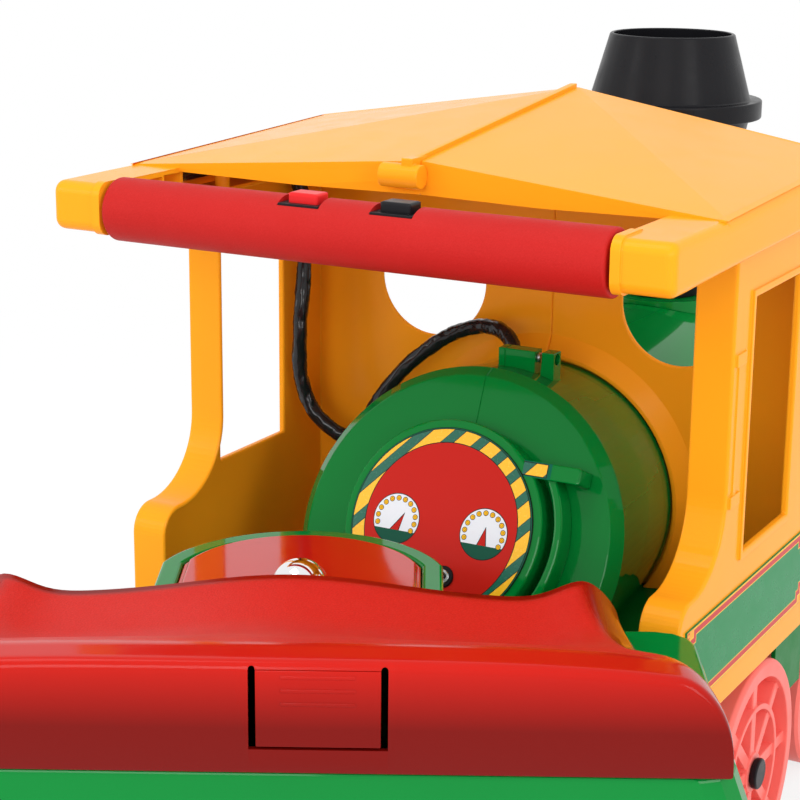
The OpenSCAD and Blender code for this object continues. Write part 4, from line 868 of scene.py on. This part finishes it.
# A sign's lower rear corner, length, height and outer face
SIGN_X, SIGN_Z, SIGN_L, SIGN_H, SIGN_Y = 136.0, 230.0, 270.0, 62.0, 236.5
# One step of a corner, and the margin round the print
SIGN_STEP, SIGN_EDGE = 6.0, 0.4
# Frames of the sign from outside in: colour and inset
SIGN_FRAMES = (("print_yellow", 0.5), ("print_red", 1.7), ("print_yellow", 6.2), ("sign", 6.9))
# Lifts of the ground, the frames and the corners' two squares
GROUND_LIFT, FRAME_LIFT, CORNER_LIFT, CORNER_IN_LIFT = 0.04, 0.08, 0.1, 0.16
# A corner square's near and far side and its line's width, and the steps of the frame at a corner
CORNER_FROM, CORNER_TO, CORNER_LINE = 1.2, 5.6, 0.9
CORNER_STEPS = ((2, 0), (2, 1), (1, 1), (1, 2), (0, 2))


def step_frame(inset):
    """Outline of the sign, stepped in at its corners"""
    x0, x1, z0, z1 = inset, SIGN_L - inset, inset, SIGN_H - inset
    outline = []
    for x, z, turn in ((x1, z0, 1), (x1, z1, -1), (x0, z1, 1), (x0, z0, -1)):
        across, up = SIGN_STEP if x == x0 else -SIGN_STEP, SIGN_STEP if z == z0 else -SIGN_STEP
        outline += [(x + across * i, z + up * k) for i, k in CORNER_STEPS[::turn]]
    return outline[-1:] + outline[:-1]


def make_sign(side):
    """The stepped frame and corner squares printed on a side's sign"""

    def spot(x, z, h):
        along = x if side < 0 else SIGN_L - x
        return Vector((SIGN_X + along, side * (SIGN_Y + h), SIGN_Z + z)) * MM

    sheet = PrintSheet(spot)
    whole = box_outline(SIGN_EDGE, SIGN_L - SIGN_EDGE, SIGN_EDGE, SIGN_H - SIGN_EDGE)
    sheet.lay("orange", GROUND_LIFT, whole, step_frame(SIGN_FRAMES[0][1]))
    insets = [inset for _, inset in SIGN_FRAMES]
    for i, (key, inset) in enumerate(SIGN_FRAMES):
        sheet.lay(key, FRAME_LIFT, step_frame(inset), *(step_frame(inner) for inner in insets[i + 1:i + 2]))
    for x0, x1 in ((CORNER_FROM, CORNER_TO), (SIGN_L - CORNER_TO, SIGN_L - CORNER_FROM)):
        for z0, z1 in ((CORNER_FROM, CORNER_TO), (SIGN_H - CORNER_TO, SIGN_H - CORNER_FROM)):
            inside = (x0 + CORNER_LINE, x1 - CORNER_LINE, z0 + CORNER_LINE, z1 - CORNER_LINE)
            sheet.lay("print_red", CORNER_LIFT, box_outline(x0, x1, z0, z1))
            sheet.lay("print_yellow", CORNER_IN_LIFT, box_outline(*inside))
    sheet.piece("sign_print_left" if side > 0 else "sign_print_right", "loco", "sign")


# Cable sleeve

CABLE_R, CABLE_SIDES, CABLE_STEPS = 7.0, 28, 9
# Rows over which the wrinkles fade in at both ends, and the turn up to which the sleeve shades smoothly
CABLE_FADE, CABLE_SMOOTH = 6, 60
# Wrinkles: how fast they change along and round the sleeve, and their shares of the wrinkle's depth
FOLD_RUN, FOLD_ROUND, CREASE_RUN, CREASE_ROUND, CREASE_SHIFT = 0.085, 1.1, 0.2, 1.9, 7
FOLD_SHARE, CREASE_SHARE, SINK_SHARE = 0.9, 1.6, 0.2
CABLE_ROUTE = [
    (159, 230, 573), (175, 230, 573), (205, 230, 573), (240, 230, 573), (275, 230, 573), (305, 230, 573),
    (330, 228, 571), (348, 223, 563), (357, 221, 548), (361, 218, 530), (362, 217, 505), (362, 217, 480),
    (360, 217, 455), (356, 217, 430), (354, 217, 405), (354, 217, 382), (355, 213, 360), (356, 204, 342),
    (358, 190, 329), (361, 176, 322), (364, 164, 325), (367, 156, 336), (369, 148, 351), (371, 138, 367),
    (374, 125, 384), (377, 109, 400), (380, 92, 414), (381, 73, 425), (379, 54, 432), (375, 38, 434),
    (370, 26, 433), (365, 17, 429), (361, 11, 422), (359, 8, 413), (359, 8, 403)]


def smooth_route(route, steps):
    spots = [Vector(p) for p in route]
    result = []
    for i in range(len(spots) - 1):
        p0, p1 = spots[max(i - 1, 0)], spots[i]
        p2, p3 = spots[i + 1], spots[min(i + 2, len(spots) - 1)]
        for k in range(steps):
            t = k / steps
            result.append(0.5 * (2 * p1 + (p2 - p0) * t + (2 * p0 - 5 * p1 + 4 * p2 - p3) * t * t
                                 + (3 * p1 - p0 - 3 * p2 + p3) * t ** 3))
    return result + [spots[-1]]


def make_cable(depth):
    """The sleeve along its route, with folds and creases of that depth"""
    path = smooth_route(CABLE_ROUTE, CABLE_STEPS)
    points = []
    across = Vector((0, 0, 1))
    run, last = 0.0, len(path) - 1
    for i, spot in enumerate(path):
        ahead = (path[min(i + 1, last)] - path[max(i - 1, 0)]).normalized()
        across = (across - ahead * across.dot(ahead)).normalized()
        other = ahead.cross(across)
        run += (spot - path[i - 1]).length if i else 0.0
        end = min(1.0, i / CABLE_FADE, (last - i) / CABLE_FADE)
        for k in range(CABLE_SIDES):
            a = math.tau * k / CABLE_SIDES
            x, y = math.cos(a), math.sin(a)
            fold = noise.noise(Vector((run * FOLD_RUN, x * FOLD_ROUND, y * FOLD_ROUND)))
            bend = Vector((run * CREASE_RUN, x * CREASE_ROUND + CREASE_SHIFT, y * CREASE_ROUND))
            crease = abs(noise.noise(bend))
            r = CABLE_R + end * depth / MM * (FOLD_SHARE * fold - CREASE_SHARE * crease - SINK_SHARE)
            points.append((spot + r * (x * across + y * other)) * MM)
    faces = grid_faces(len(path), CABLE_SIDES, True)
    faces.append(tuple(range(CABLE_SIDES - 1, -1, -1)))
    faces.append(tuple(range(last * CABLE_SIDES, len(path) * CABLE_SIDES)))
    mesh = mesh_from("cable_form", points, faces)
    smooth_by_angle(mesh, CABLE_SMOOTH)
    piece = link_piece("cable_form", mesh, "loco", ["cable"])
    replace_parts(piece, "cable_sleeve")


# Seat

# The seat is drawn in millimetres behind the pivot, and turned as the seat unit is at rest
STEER = Matrix.Rotation(math.radians(28), 4, "Z")
SEAT = dict(front=72.0, rim=265.0, lip=284.0, rear=290.0, dip_z=347.0, bump=15.0, ear=13.0, lip_z=390.0,
            front_half=216.0, rear_half=260.0, low=323.0, front_low=328.0, bump_w=95.0, ear_w=24.0, pan=7.0,
            lip_fall=12.0)
SEAT_WALL, SEAT_SMOOTH = 4.0, 50
# The skirt's lower edge: share of the way from the outer to the inner wall, and rise
SKIRT = ((0.0, 1.5), (0.3, 0.0), (1.0, 0.0))
# Where the grained pan starts, ends and stops short of the sides, and how fast it fades there
PAN_FROM, PAN_TO, PAN_SIDE = 76, 262, 0.9
FROM_FADE, TO_FADE, SIDE_FADE = 6, 8, 0.05
# Rows over the pan, the lip and the rear edge, and columns across
PAN_ROWS, LIP_ROWS, REAR_ROWS, SEAT_COLS = 44, 6, 8, 84
# Shares of the length and half width where the lip rises and the sides roll down, and how far they roll
LIP_START, SIDE_START, SIDE_DROP = 0.3, 0.87, 0.75
LATCH_Y, LATCH_W, LATCH_TOP, LATCH_LOW, LATCH_T, LATCH_ROUND = -28.0, 70.0, 385.0, 339.0, 4.0, 0.7
# The slots beside the latch, the seam over it, and how far its opening runs below, behind and before it
SLOT_W, SLOT_STEPS, LATCH_SEAM, LATCH_FOOT, LATCH_OUT, LATCH_IN = 4.0, 10, 0.4, 1.5, 3, 12
# Notches for the hinge ears: distances from the pivot, sideways, heights
EAR_D, EAR_Y, EAR_Z = (89.0, 66.0), (69.5, 78.0), (322.0, 346.0)
# Finger ribs: heights, length, radius, how deep they stand in the latch, how flat they are, steps
RIB_ZS, RIB_L, RIB_R, RIB_SUNK, RIB_FLAT, RIB_STEPS = (381.0, 373.0, 365.0), 42.0, 1.5, 0.6, 0.9, 12


def ease(t):
    t = min(1.0, max(0.0, t))
    return t * t * (3 - 2 * t)


def seat_half(d):
    """Half width of the seat at a distance from the pivot"""
    return SEAT["front_half"] + (SEAT["rear_half"] - SEAT["front_half"]) * ease(
        (d - SEAT["front"]) / (SEAT["lip"] - SEAT["front"]))


def rolled(q):
    """Share that a quarter-round edge has fallen at q of its width"""
    return 0.0 if q <= 0 else 1 - math.sqrt(max(0.0, 1 - q * q))


def seat_height(d, v):
    """Height of the seat's top at a distance from the pivot and a share v of its half width"""
    t = min(1.0, (d - SEAT["front"]) / (SEAT["rim"] - SEAT["front"]))
    lip = ease((t - LIP_START) / (1 - LIP_START))
    y = v * seat_half(d)
    front = SEAT["dip_z"] + SEAT["bump"] * math.exp(-(y / SEAT["bump_w"]) ** 2) + SEAT["ear"] * math.exp(
        -((abs(y) - SEAT["front_half"] + SEAT["ear_w"]) / SEAT["ear_w"]) ** 2)
    crest = SEAT["lip_z"] - SEAT["lip_fall"] * v ** 4
    base = front * (1 - lip) + crest * lip - SEAT["pan"] * math.sin(math.pi * t)
    rear_l = SEAT["rear"] - SEAT["lip"]
    side = rolled((abs(v) - SIDE_START) / (1 - SIDE_START)) * (base - SEAT["low"]) * SIDE_DROP
    return base - side - rolled((d - SEAT["lip"]) / rear_l) * rear_l


def seat_low(d):
    """Height of the skirt's lower edge"""
    return SEAT["front_low"] + (SEAT["low"] - SEAT["front_low"]) * ease(
        2 * (d - SEAT["front"]) / (SEAT["lip"] - SEAT["front"]))


def pan_share(d, v):
    """One in the grained pan, falling to zero before the lip and the sides"""
    side = ease((PAN_SIDE - abs(v)) / SIDE_FADE)
    return ease((PAN_TO - d) / TO_FADE) * side * ease((d - PAN_FROM) / FROM_FADE)


def make_seat():
    """The seat's shell, closed underneath, with room for the latch and the hinge ears"""
    rows = [SEAT["front"] + (SEAT["rim"] - SEAT["front"]) * i / PAN_ROWS for i in range(PAN_ROWS + 1)]
    rows += [SEAT["rim"] + (SEAT["lip"] - SEAT["rim"]) * i / LIP_ROWS for i in range(1, LIP_ROWS + 1)]
    rows += [SEAT["lip"] + (SEAT["rear"] - SEAT["lip"]) * math.sin(math.pi / 2 * i / REAR_ROWS)
             for i in range(1, REAR_ROWS + 1)]
    cols = [math.sin(math.pi / 2 * (2 * k / SEAT_COLS - 1)) for k in range(SEAT_COLS + 1)]
    nr, nv = len(rows), len(cols)
    grid = [(d, v) for d in rows for v in cols]
    points = [Vector((-d, v * seat_half(d), seat_height(d, v))) for d, v in grid]
    pans = [pan_share(d, v) for d, v in grid]
    faces = [(a, d, c, b) for a, b, c, d in grid_faces(nr, nv, False)]
    edge = [(0, k) for k in range(nv - 1)] + [(i, nv - 1) for i in range(nr - 1)]
    edge += [(nr - 1, k) for k in range(nv - 1, 0, -1)] + [(i, 0) for i in range(nr - 1, 0, -1)]
    mid = (SEAT["rear"] + SEAT["front"]) / 2
    squeeze = 1 - 2 * SEAT_WALL / (SEAT["rear"] - SEAT["front"])

    def inset(d, v):
        return Vector((-mid - (d - mid) * squeeze, v * (seat_half(d) - SEAT_WALL), 0))

    count = len(points)
    points += [inset(d, v) + Vector((0, 0, seat_height(d, v) - SEAT_WALL)) for d, v in grid]
    faces += [tuple(count + i for i in reversed(face)) for face in faces]
    loops = [[i * nv + k for i, k in edge]]
    for share, rise in SKIRT:
        loops.append([len(points) + j for j in range(len(edge))])
        for i, k in edge:
            d, v = rows[i], cols[k]
            spot = Vector((-d, v * seat_half(d), 0)).lerp(inset(d, v), share)
            spot.z = seat_low(d) + rise
            points.append(spot)
    pans += [0.0] * (len(points) - len(pans))
    loops.append([count + i * nv + k for i, k in edge])
    for upper, lower in zip(loops, loops[1:]):
        for j in range(len(upper)):
            h = (j + 1) % len(upper)
            faces.append((upper[j], upper[h], lower[h], lower[j]))
    mesh = mesh_from("seat_form", [STEER @ (p * MM) for p in points], faces)
    fade = mesh.attributes.new("pan", "FLOAT", "POINT")
    fade.data.foreach_set("value", pans)
    smooth_by_angle(mesh, SEAT_SMOOTH)
    piece = link_piece("seat_form", mesh, "seat", ["seat"])
    cut_room(piece, latch_room(), SEAT["rear"] + LATCH_OUT, SEAT["rear"] - LATCH_IN)
    for side in (1, -1):
        cut_room(piece, ear_room(side), *EAR_D)
    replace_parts(piece, "seat")


def latch_room():
    """Outline of the opening for the latch, with a round-topped slot on each side"""
    low, top, half = LATCH_LOW - LATCH_FOOT, LATCH_TOP + LATCH_SEAM, LATCH_W / 2
    outline = [(-half - SLOT_W, low)]
    for side in (-1, 1):
        mid = side * (half + SLOT_W / 2)
        outline += [(mid + SLOT_W / 2 * math.cos(a), top + SLOT_W / 2 * math.sin(a))
                    for a in (math.pi * (1 - k / SLOT_STEPS) for k in range(SLOT_STEPS + 1))]
    outline.append((half + SLOT_W, low))
    return [(LATCH_Y + y, z) for y, z in outline]


def ear_room(side):
    """Outline of the notch round a hinge ear of the tender's body"""
    return box_outline(side * EAR_Y[0], side * EAR_Y[1], *EAR_Z)


def cut_room(piece, outline, rear, front):
    """Cuts a prism of that outline, between two distances from the pivot, out of the piece"""
    n = len(outline)
    points = [Vector((-d, y, z)) for d in (rear, front) for y, z in outline]
    faces = [tuple(range(n)), tuple(range(2 * n - 1, n - 1, -1))]
    faces += [(i, n + i, n + (i + 1) % n, (i + 1) % n) for i in range(n)]
    mesh = mesh_from("room", [STEER @ (p * MM) for p in points], faces)
    shape = bmesh.new()
    shape.from_mesh(mesh)
    bmesh.ops.recalc_face_normals(shape, faces=shape.faces)
    shape.to_mesh(mesh)
    shape.free()
    cutter = add_object("room", mesh)
    cut = piece.modifiers.new("Room", "BOOLEAN")
    cut.operation, cut.solver, cut.object = "DIFFERENCE", "EXACT", cutter
    bake_modifiers(piece)
    bpy.data.objects.remove(cutter)


def make_latch():
    """The tab between the slots, with three finger ribs"""
    outer = -SEAT["rear"]
    shape = bmesh.new()
    block = bmesh.ops.create_cube(shape, size=1.0)["verts"]
    size = Vector((LATCH_T, LATCH_W, LATCH_TOP - LATCH_LOW))
    for vertex in block:
        vertex.co = Vector((outer + LATCH_T / 2, LATCH_Y, (LATCH_TOP + LATCH_LOW) / 2)) + vertex.co * size
    bmesh.ops.bevel(shape, geom=shape.edges[:], offset=LATCH_ROUND, segments=3, profile=0.5, affect="EDGES")
    for z in RIB_ZS:
        verts = []
        for a in (math.pi * step / RIB_STEPS for step in range(RIB_STEPS + 1)):
            lift = RIB_R * math.sin(a)
            reach = RIB_L / 2 - RIB_R + lift
            x, high = outer + RIB_SUNK - lift * RIB_FLAT, z + RIB_R * math.cos(a)
            verts.append([shape.verts.new((x, LATCH_Y + s * reach, high)) for s in (-1, 1)])
        for near, far in zip(verts, verts[1:] + verts[:1]):
            shape.faces.new((near[0], near[1], far[1], far[0]))
        shape.faces.new([pair[0] for pair in verts])
        shape.faces.new([pair[1] for pair in reversed(verts)])
    bmesh.ops.recalc_face_normals(shape, faces=shape.faces)
    mesh = bpy.data.meshes.new("latch_form")
    for vertex in shape.verts:
        vertex.co = STEER @ (vertex.co * MM)
    shape.to_mesh(mesh)
    shape.free()
    smooth_by_angle(mesh)
    piece = link_piece("latch_form", mesh, "latch", ["seat"])
    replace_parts(piece, "latch_tab")


# Operators, one for each group of pieces

# Roundings in metres that aren't the settings' edge or seam; the slim one is for collar, battery and wheels
GRIP_ROUND, SWITCH_ROUND, BUTTON_ROUND, BOSS_ROUND, SCREW_ROUND = 0.0025, 0.0005, 0.0022, 0.0022, 0.0008
SLIM_ROUND, CHASSIS_ROUND, BODY_ROUND, COVER_ROUND = 0.0012, 0.0014, 0.0025, 0.0028
# Least turn in degrees of an edge that is rounded on the seat unit's body
BODY_TURN = 34
CAB_HALF, POST_REAR, POST_ROUND = 0.235, 0.2105, 0.003
ROOF_HALF, EAVE_MID, NOSE_FRONT = 0.247, 0.566, 0.094
EAVE_ROUND, NOSE_ROUND, EAVE_LOW_ROUND = 0.009, 0.007, 0.0015
ROOF_UNDER, ARM_FRONT, ARM_IN = 0.572, 0.12, 0.2035


class MakeMaterials(bpy.types.Operator):
    """Makes the plastics, prints and metals"""

    bl_idname = "train.make_materials"
    bl_label = "Materials"

    def execute(self, context):
        make_materials(context.scene.train_colours)
        return {"FINISHED"}


def cab_reach(spot):
    """The posts' outer rear edges are rounder than the rest"""
    return POST_ROUND if spot.x < POST_REAR else 0.0


def roof_reach(spot):
    """Eaves roll over softly, and so do the outer ends of the arms"""
    if spot.x < NOSE_FRONT:
        return NOSE_ROUND
    return EAVE_ROUND if spot.z > EAVE_MID else EAVE_LOW_ROUND


def roof_hidden(spot):
    """Edges under the roof and inside the arms, which stay as the CAD has them"""
    return spot.z < ROOF_UNDER or (spot.x < ARM_FRONT and abs(spot.y) < ARM_IN)


class MakeCab(bpy.types.Operator):
    """Rounds the cab's two mouldings and prints their signs"""

    bl_idname = "train.make_cab"
    bl_label = "Cab and signs"

    def execute(self, context):
        for node in ("cab_left", "cab_right"):
            soften(node, context.scene.train_forms.edge, segments=3, half=CAB_HALF, reach=cab_reach)
        for side in (1, -1):
            make_sign(side)
        dress("sign_left", "sign_right")
        return {"FINISHED"}


class MakeRoof(bpy.types.Operator):
    """Rounds the roof halves and dresses their screws"""

    bl_idname = "train.make_roof"
    bl_label = "Roof"

    def execute(self, context):
        for node in ("roof_left", "roof_right"):
            soften(node, context.scene.train_forms.edge, segments=3, half=ROOF_HALF, reach=roof_reach,
                   stay=roof_hidden)
        dress("roof_screws")
        return {"FINISHED"}


class MakeGrip(bpy.types.Operator):
    """Makes the grip sleeve, its switches and buttons"""

    bl_idname = "train.make_grip"
    bl_label = "Grip bar"

    def execute(self, context):
        soften("grip", GRIP_ROUND, segments=4)
        soften("switch_plates", SWITCH_ROUND)
        for node in ("red_button", "black_button"):
            soften(node, BUTTON_ROUND, segments=4)
        dress("bar_core", "switch_bodies")
        return {"FINISHED"}


class MakeDash(bpy.types.Operator):
    """Makes the drum, its boss, the printed dash and the socket"""

    bl_idname = "train.make_dash"
    bl_label = "Dash drum"

    def execute(self, context):
        for node in ("drum_left", "drum_right"):
            soften(node, context.scene.train_forms.seam)
        soften("dash_boss", BOSS_ROUND, segments=3, stay=under_print)
        for node in ("charge_socket", "drum_screw"):
            soften(node, SCREW_ROUND, segments=3)
        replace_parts(make_dash_disc(), "dash_plate")
        make_dash_print()
        make_socket_pin()
        dress("sound_box")
        return {"FINISHED"}


class MakeCable(bpy.types.Operator):
    """Makes the creased cable sleeve"""

    bl_idname = "train.make_cable"
    bl_label = "Cable sleeve"

    def execute(self, context):
        make_cable(context.scene.train_forms.wrinkle)
        return {"FINISHED"}


class MakeFront(bpy.types.Operator):
    """Rounds the boiler, chimney, lamp and cowcatcher"""

    bl_idname = "train.make_front"
    bl_label = "Boiler and chimney"

    def execute(self, context):
        forms = context.scene.train_forms
        for node in ("boiler_left", "boiler_right"):
            soften(node, forms.seam)
        for node in ("smokebox_front", "headlamp_housing", "headlamp_lens", "chimney_cone", "chimney_top",
                     "cowcatcher"):
            soften(node, forms.edge, segments=3)
        for node in ("chimney_collar", "battery", "battery_strap"):
            soften(node, SLIM_ROUND)
        return {"FINISHED"}


class MakeRunningGear(bpy.types.Operator):
    """Rounds chassis and wheels and dresses the drive"""

    bl_idname = "train.make_running_gear"
    bl_label = "Chassis, wheels and drive"

    def execute(self, context):
        forms = context.scene.train_forms
        soften("chassis", CHASSIS_ROUND, material="chassis")
        for node in ("drive_wheel_left", "drive_wheel_right", "front_wheel_left", "front_wheel_right",
                     "tender_wheels"):
            soften(node, SLIM_ROUND)
        for node in ("drive_caps", "front_caps", "tender_caps"):
            soften(node, forms.edge, segments=3)
        dress("thrust_washer", "gearbox_case", "gearbox_cover", "motor", "gear_pin", "axle_bushes",
              "drive_axle", "drive_gear", "compound_gear", "motor_pinion", "front_axle", "tender_axle")
        return {"FINISHED"}


class MakeSeatUnit(bpy.types.Operator):
    """Makes the seat unit: body, pivot, seat and latch"""

    bl_idname = "train.make_seat_unit"
    bl_label = "Seat unit"

    def execute(self, context):
        soften("tender_body", BODY_ROUND, segments=3, angle=BODY_TURN)
        soften("pivot_cover", COVER_ROUND, segments=4)
        make_seat()
        make_latch()
        dress("pivot_bolt", "dome_cap", "seat_hinge_rod")
        return {"FINISHED"}


# Stage

CAMERA_AT = (-1.13317, -0.69728, 0.81947)
CAMERA_YAW, CAMERA_PITCH, CAMERA_ROLL = 28.65, -15.04, 0.54
CAMERA_LENS, CAMERA_SENSOR, CAMERA_CLIP = 90.95, 36.0, (0.05, 60)
# The floor's glow to the camera grows to full between two distances, in metres
FLOOR_HALF, FLOOR_GREY, FLOOR_ROUGH, FLOOR_GLOW, GLOW_SPAN = 9.0, 0.9, 0.9, 0.8, (0.8, 2.4)
# Softboxes: name, place, spot they face, size, the setting with their power and their share of it
SOFTBOXES = (("overhead", (-0.5, 0.5, 2.4), (0.2, 0.0, 0.3), (1.1, 0.8), "key", 1.0),
             ("left", (-1.4, 1.8, 1.2), (0.2, 0.0, 0.35), (0.7, 1.1), "fill", 1.0),
             ("right", (-0.9, -2.1, 1.2), (0.2, 0.0, 0.35), (0.7, 1.1), "fill", 1.8),
             ("front", (-2.1, -0.5, 1.1), (0.2, 0.0, 0.4), (0.9, 0.9), "front", 1.0))


def make_camera():
    yaw, pitch, roll = (math.radians(a) for a in (CAMERA_YAW, CAMERA_PITCH, CAMERA_ROLL))
    ahead = Vector((math.cos(yaw) * math.cos(pitch), math.sin(yaw) * math.cos(pitch), math.sin(pitch)))
    right = ahead.cross(Vector((0, 0, 1))).normalized()
    up = right.cross(ahead)
    tilted = right * math.cos(roll) + up * math.sin(roll)
    upright = up * math.cos(roll) - right * math.sin(roll)
    data = bpy.data.cameras.new("camera")
    data.lens, data.sensor_width = CAMERA_LENS, CAMERA_SENSOR
    data.clip_start, data.clip_end = CAMERA_CLIP
    camera = add_object("camera", data)
    turn = Matrix((tilted, upright, -ahead)).transposed()
    camera.matrix_world = Matrix.Translation(CAMERA_AT) @ turn.to_4x4()
    bpy.context.scene.camera = camera


def make_softbox(name, place, aim, size, power):
    data = bpy.data.lights.new(name, "AREA")
    data.shape, data.size, data.size_y, data.energy = "RECTANGLE", *size, power
    lamp = add_object(name, data)
    lamp.location = place
    lamp.rotation_mode = "QUATERNION"
    lamp.rotation_quaternion = (Vector(aim) - Vector(place)).to_track_quat("-Z", "Y")


def seen_plain(tree):
    """One where the camera, a mirror or glass looks, else zero"""
    path = add_node(tree, "ShaderNodeLightPath")
    seen = sum_node(tree, "MAXIMUM", path.outputs["Is Camera Ray"], path.outputs["Is Glossy Ray"])
    return sum_node(tree, "MAXIMUM", seen, path.outputs["Is Transmission Ray"])


def make_floor():
    """A pale floor that looks white from afar and keeps the train's shadow"""
    corners = box_outline(-FLOOR_HALF, FLOOR_HALF, -FLOOR_HALF, FLOOR_HALF)
    mesh = mesh_from("floor", [(x, y, 0) for x, y in corners], [(0, 1, 2, 3)])
    floor = add_object("floor", mesh)
    grey = (FLOOR_GREY,) * 3
    material, tree, shader = blank_material("Studio floor", grey)
    set_inputs(shader, {"Base Color": (*grey, 1), "Roughness": FLOOR_ROUGH})
    white = add_node(tree, "ShaderNodeEmission", {"Color": (1, 1, 1, 1), "Strength": 1.0})
    far = add_node(tree, "ShaderNodeVectorMath", {0: object_place(tree)}, operation="LENGTH").outputs["Value"]
    glow = range_node(tree, far, *GLOW_SPAN, FLOOR_GLOW, 1.0)
    share = sum_node(tree, "MULTIPLY", seen_plain(tree), glow)
    mix = add_node(tree, "ShaderNodeMixShader", {0: share, 1: shader.outputs[0], 2: white.outputs[0]})
    tree.links.new(mix.outputs[0], tree.nodes["Material Output"].inputs["Surface"])
    mesh.materials.append(material)


def make_world(strength):
    world = bpy.data.worlds.new("studio")
    bpy.context.scene.world = world
    world.use_nodes = True
    tree = world.node_tree
    back = tree.nodes["Background"]
    back.inputs["Color"].default_value = (1, 1, 1, 1)
    level = range_node(tree, seen_plain(tree), 0.0, 1.0, strength, 1.0)
    tree.links.new(level, back.inputs["Strength"])


class MakeStage(bpy.types.Operator):
    """Sets up camera, floor and soft light"""

    bl_idname = "train.make_stage"
    bl_label = "Studio"

    def execute(self, context):
        stage = context.scene.train_stage
        make_camera()
        make_floor()
        make_world(stage.sky)
        for name, place, aim, size, setting, share in SOFTBOXES:
            make_softbox(name, place, aim, size, share * getattr(stage, setting))
        context.scene.view_settings.view_transform = "Standard"
        return {"FINISHED"}


STEPS = (MakeMaterials, MakeStage, MakeCable, MakeCab, MakeRoof, MakeGrip, MakeDash, MakeFront,
         MakeRunningGear, MakeSeatUnit)


class TrainPanel(bpy.types.Panel):
    """Lists the train's steps and settings"""

    bl_idname = "VIEW3D_PT_train"
    bl_label = "Ride-on train"
    bl_space_type = "VIEW_3D"
    bl_region_type = "UI"
    bl_category = "Train"

    def draw(self, context):
        column = self.layout.column()
        for settings in (context.scene.train_colours, context.scene.train_forms, context.scene.train_stage):
            for name in settings.bl_rna.properties.keys():
                if name not in ("rna_type", "name"):
                    column.prop(settings, name)
        for step in STEPS:
            column.operator(step.bl_idname)


CLASSES = (TrainColours, TrainForms, TrainStage, *STEPS, TrainPanel)


def register():
    for kind in CLASSES:
        bpy.utils.register_class(kind)
    bpy.types.Scene.train_colours = PointerProperty(type=TrainColours)
    bpy.types.Scene.train_forms = PointerProperty(type=TrainForms)
    bpy.types.Scene.train_stage = PointerProperty(type=TrainStage)


def unregister():
    del bpy.types.Scene.train_stage
    del bpy.types.Scene.train_forms
    del bpy.types.Scene.train_colours
    for kind in reversed(CLASSES):
        bpy.utils.unregister_class(kind)


def main():
    register()
    for step in STEPS:
        group, name = step.bl_idname.split(".")
        getattr(getattr(bpy.ops, group), name)()


if __name__ == "__main__":
    main()
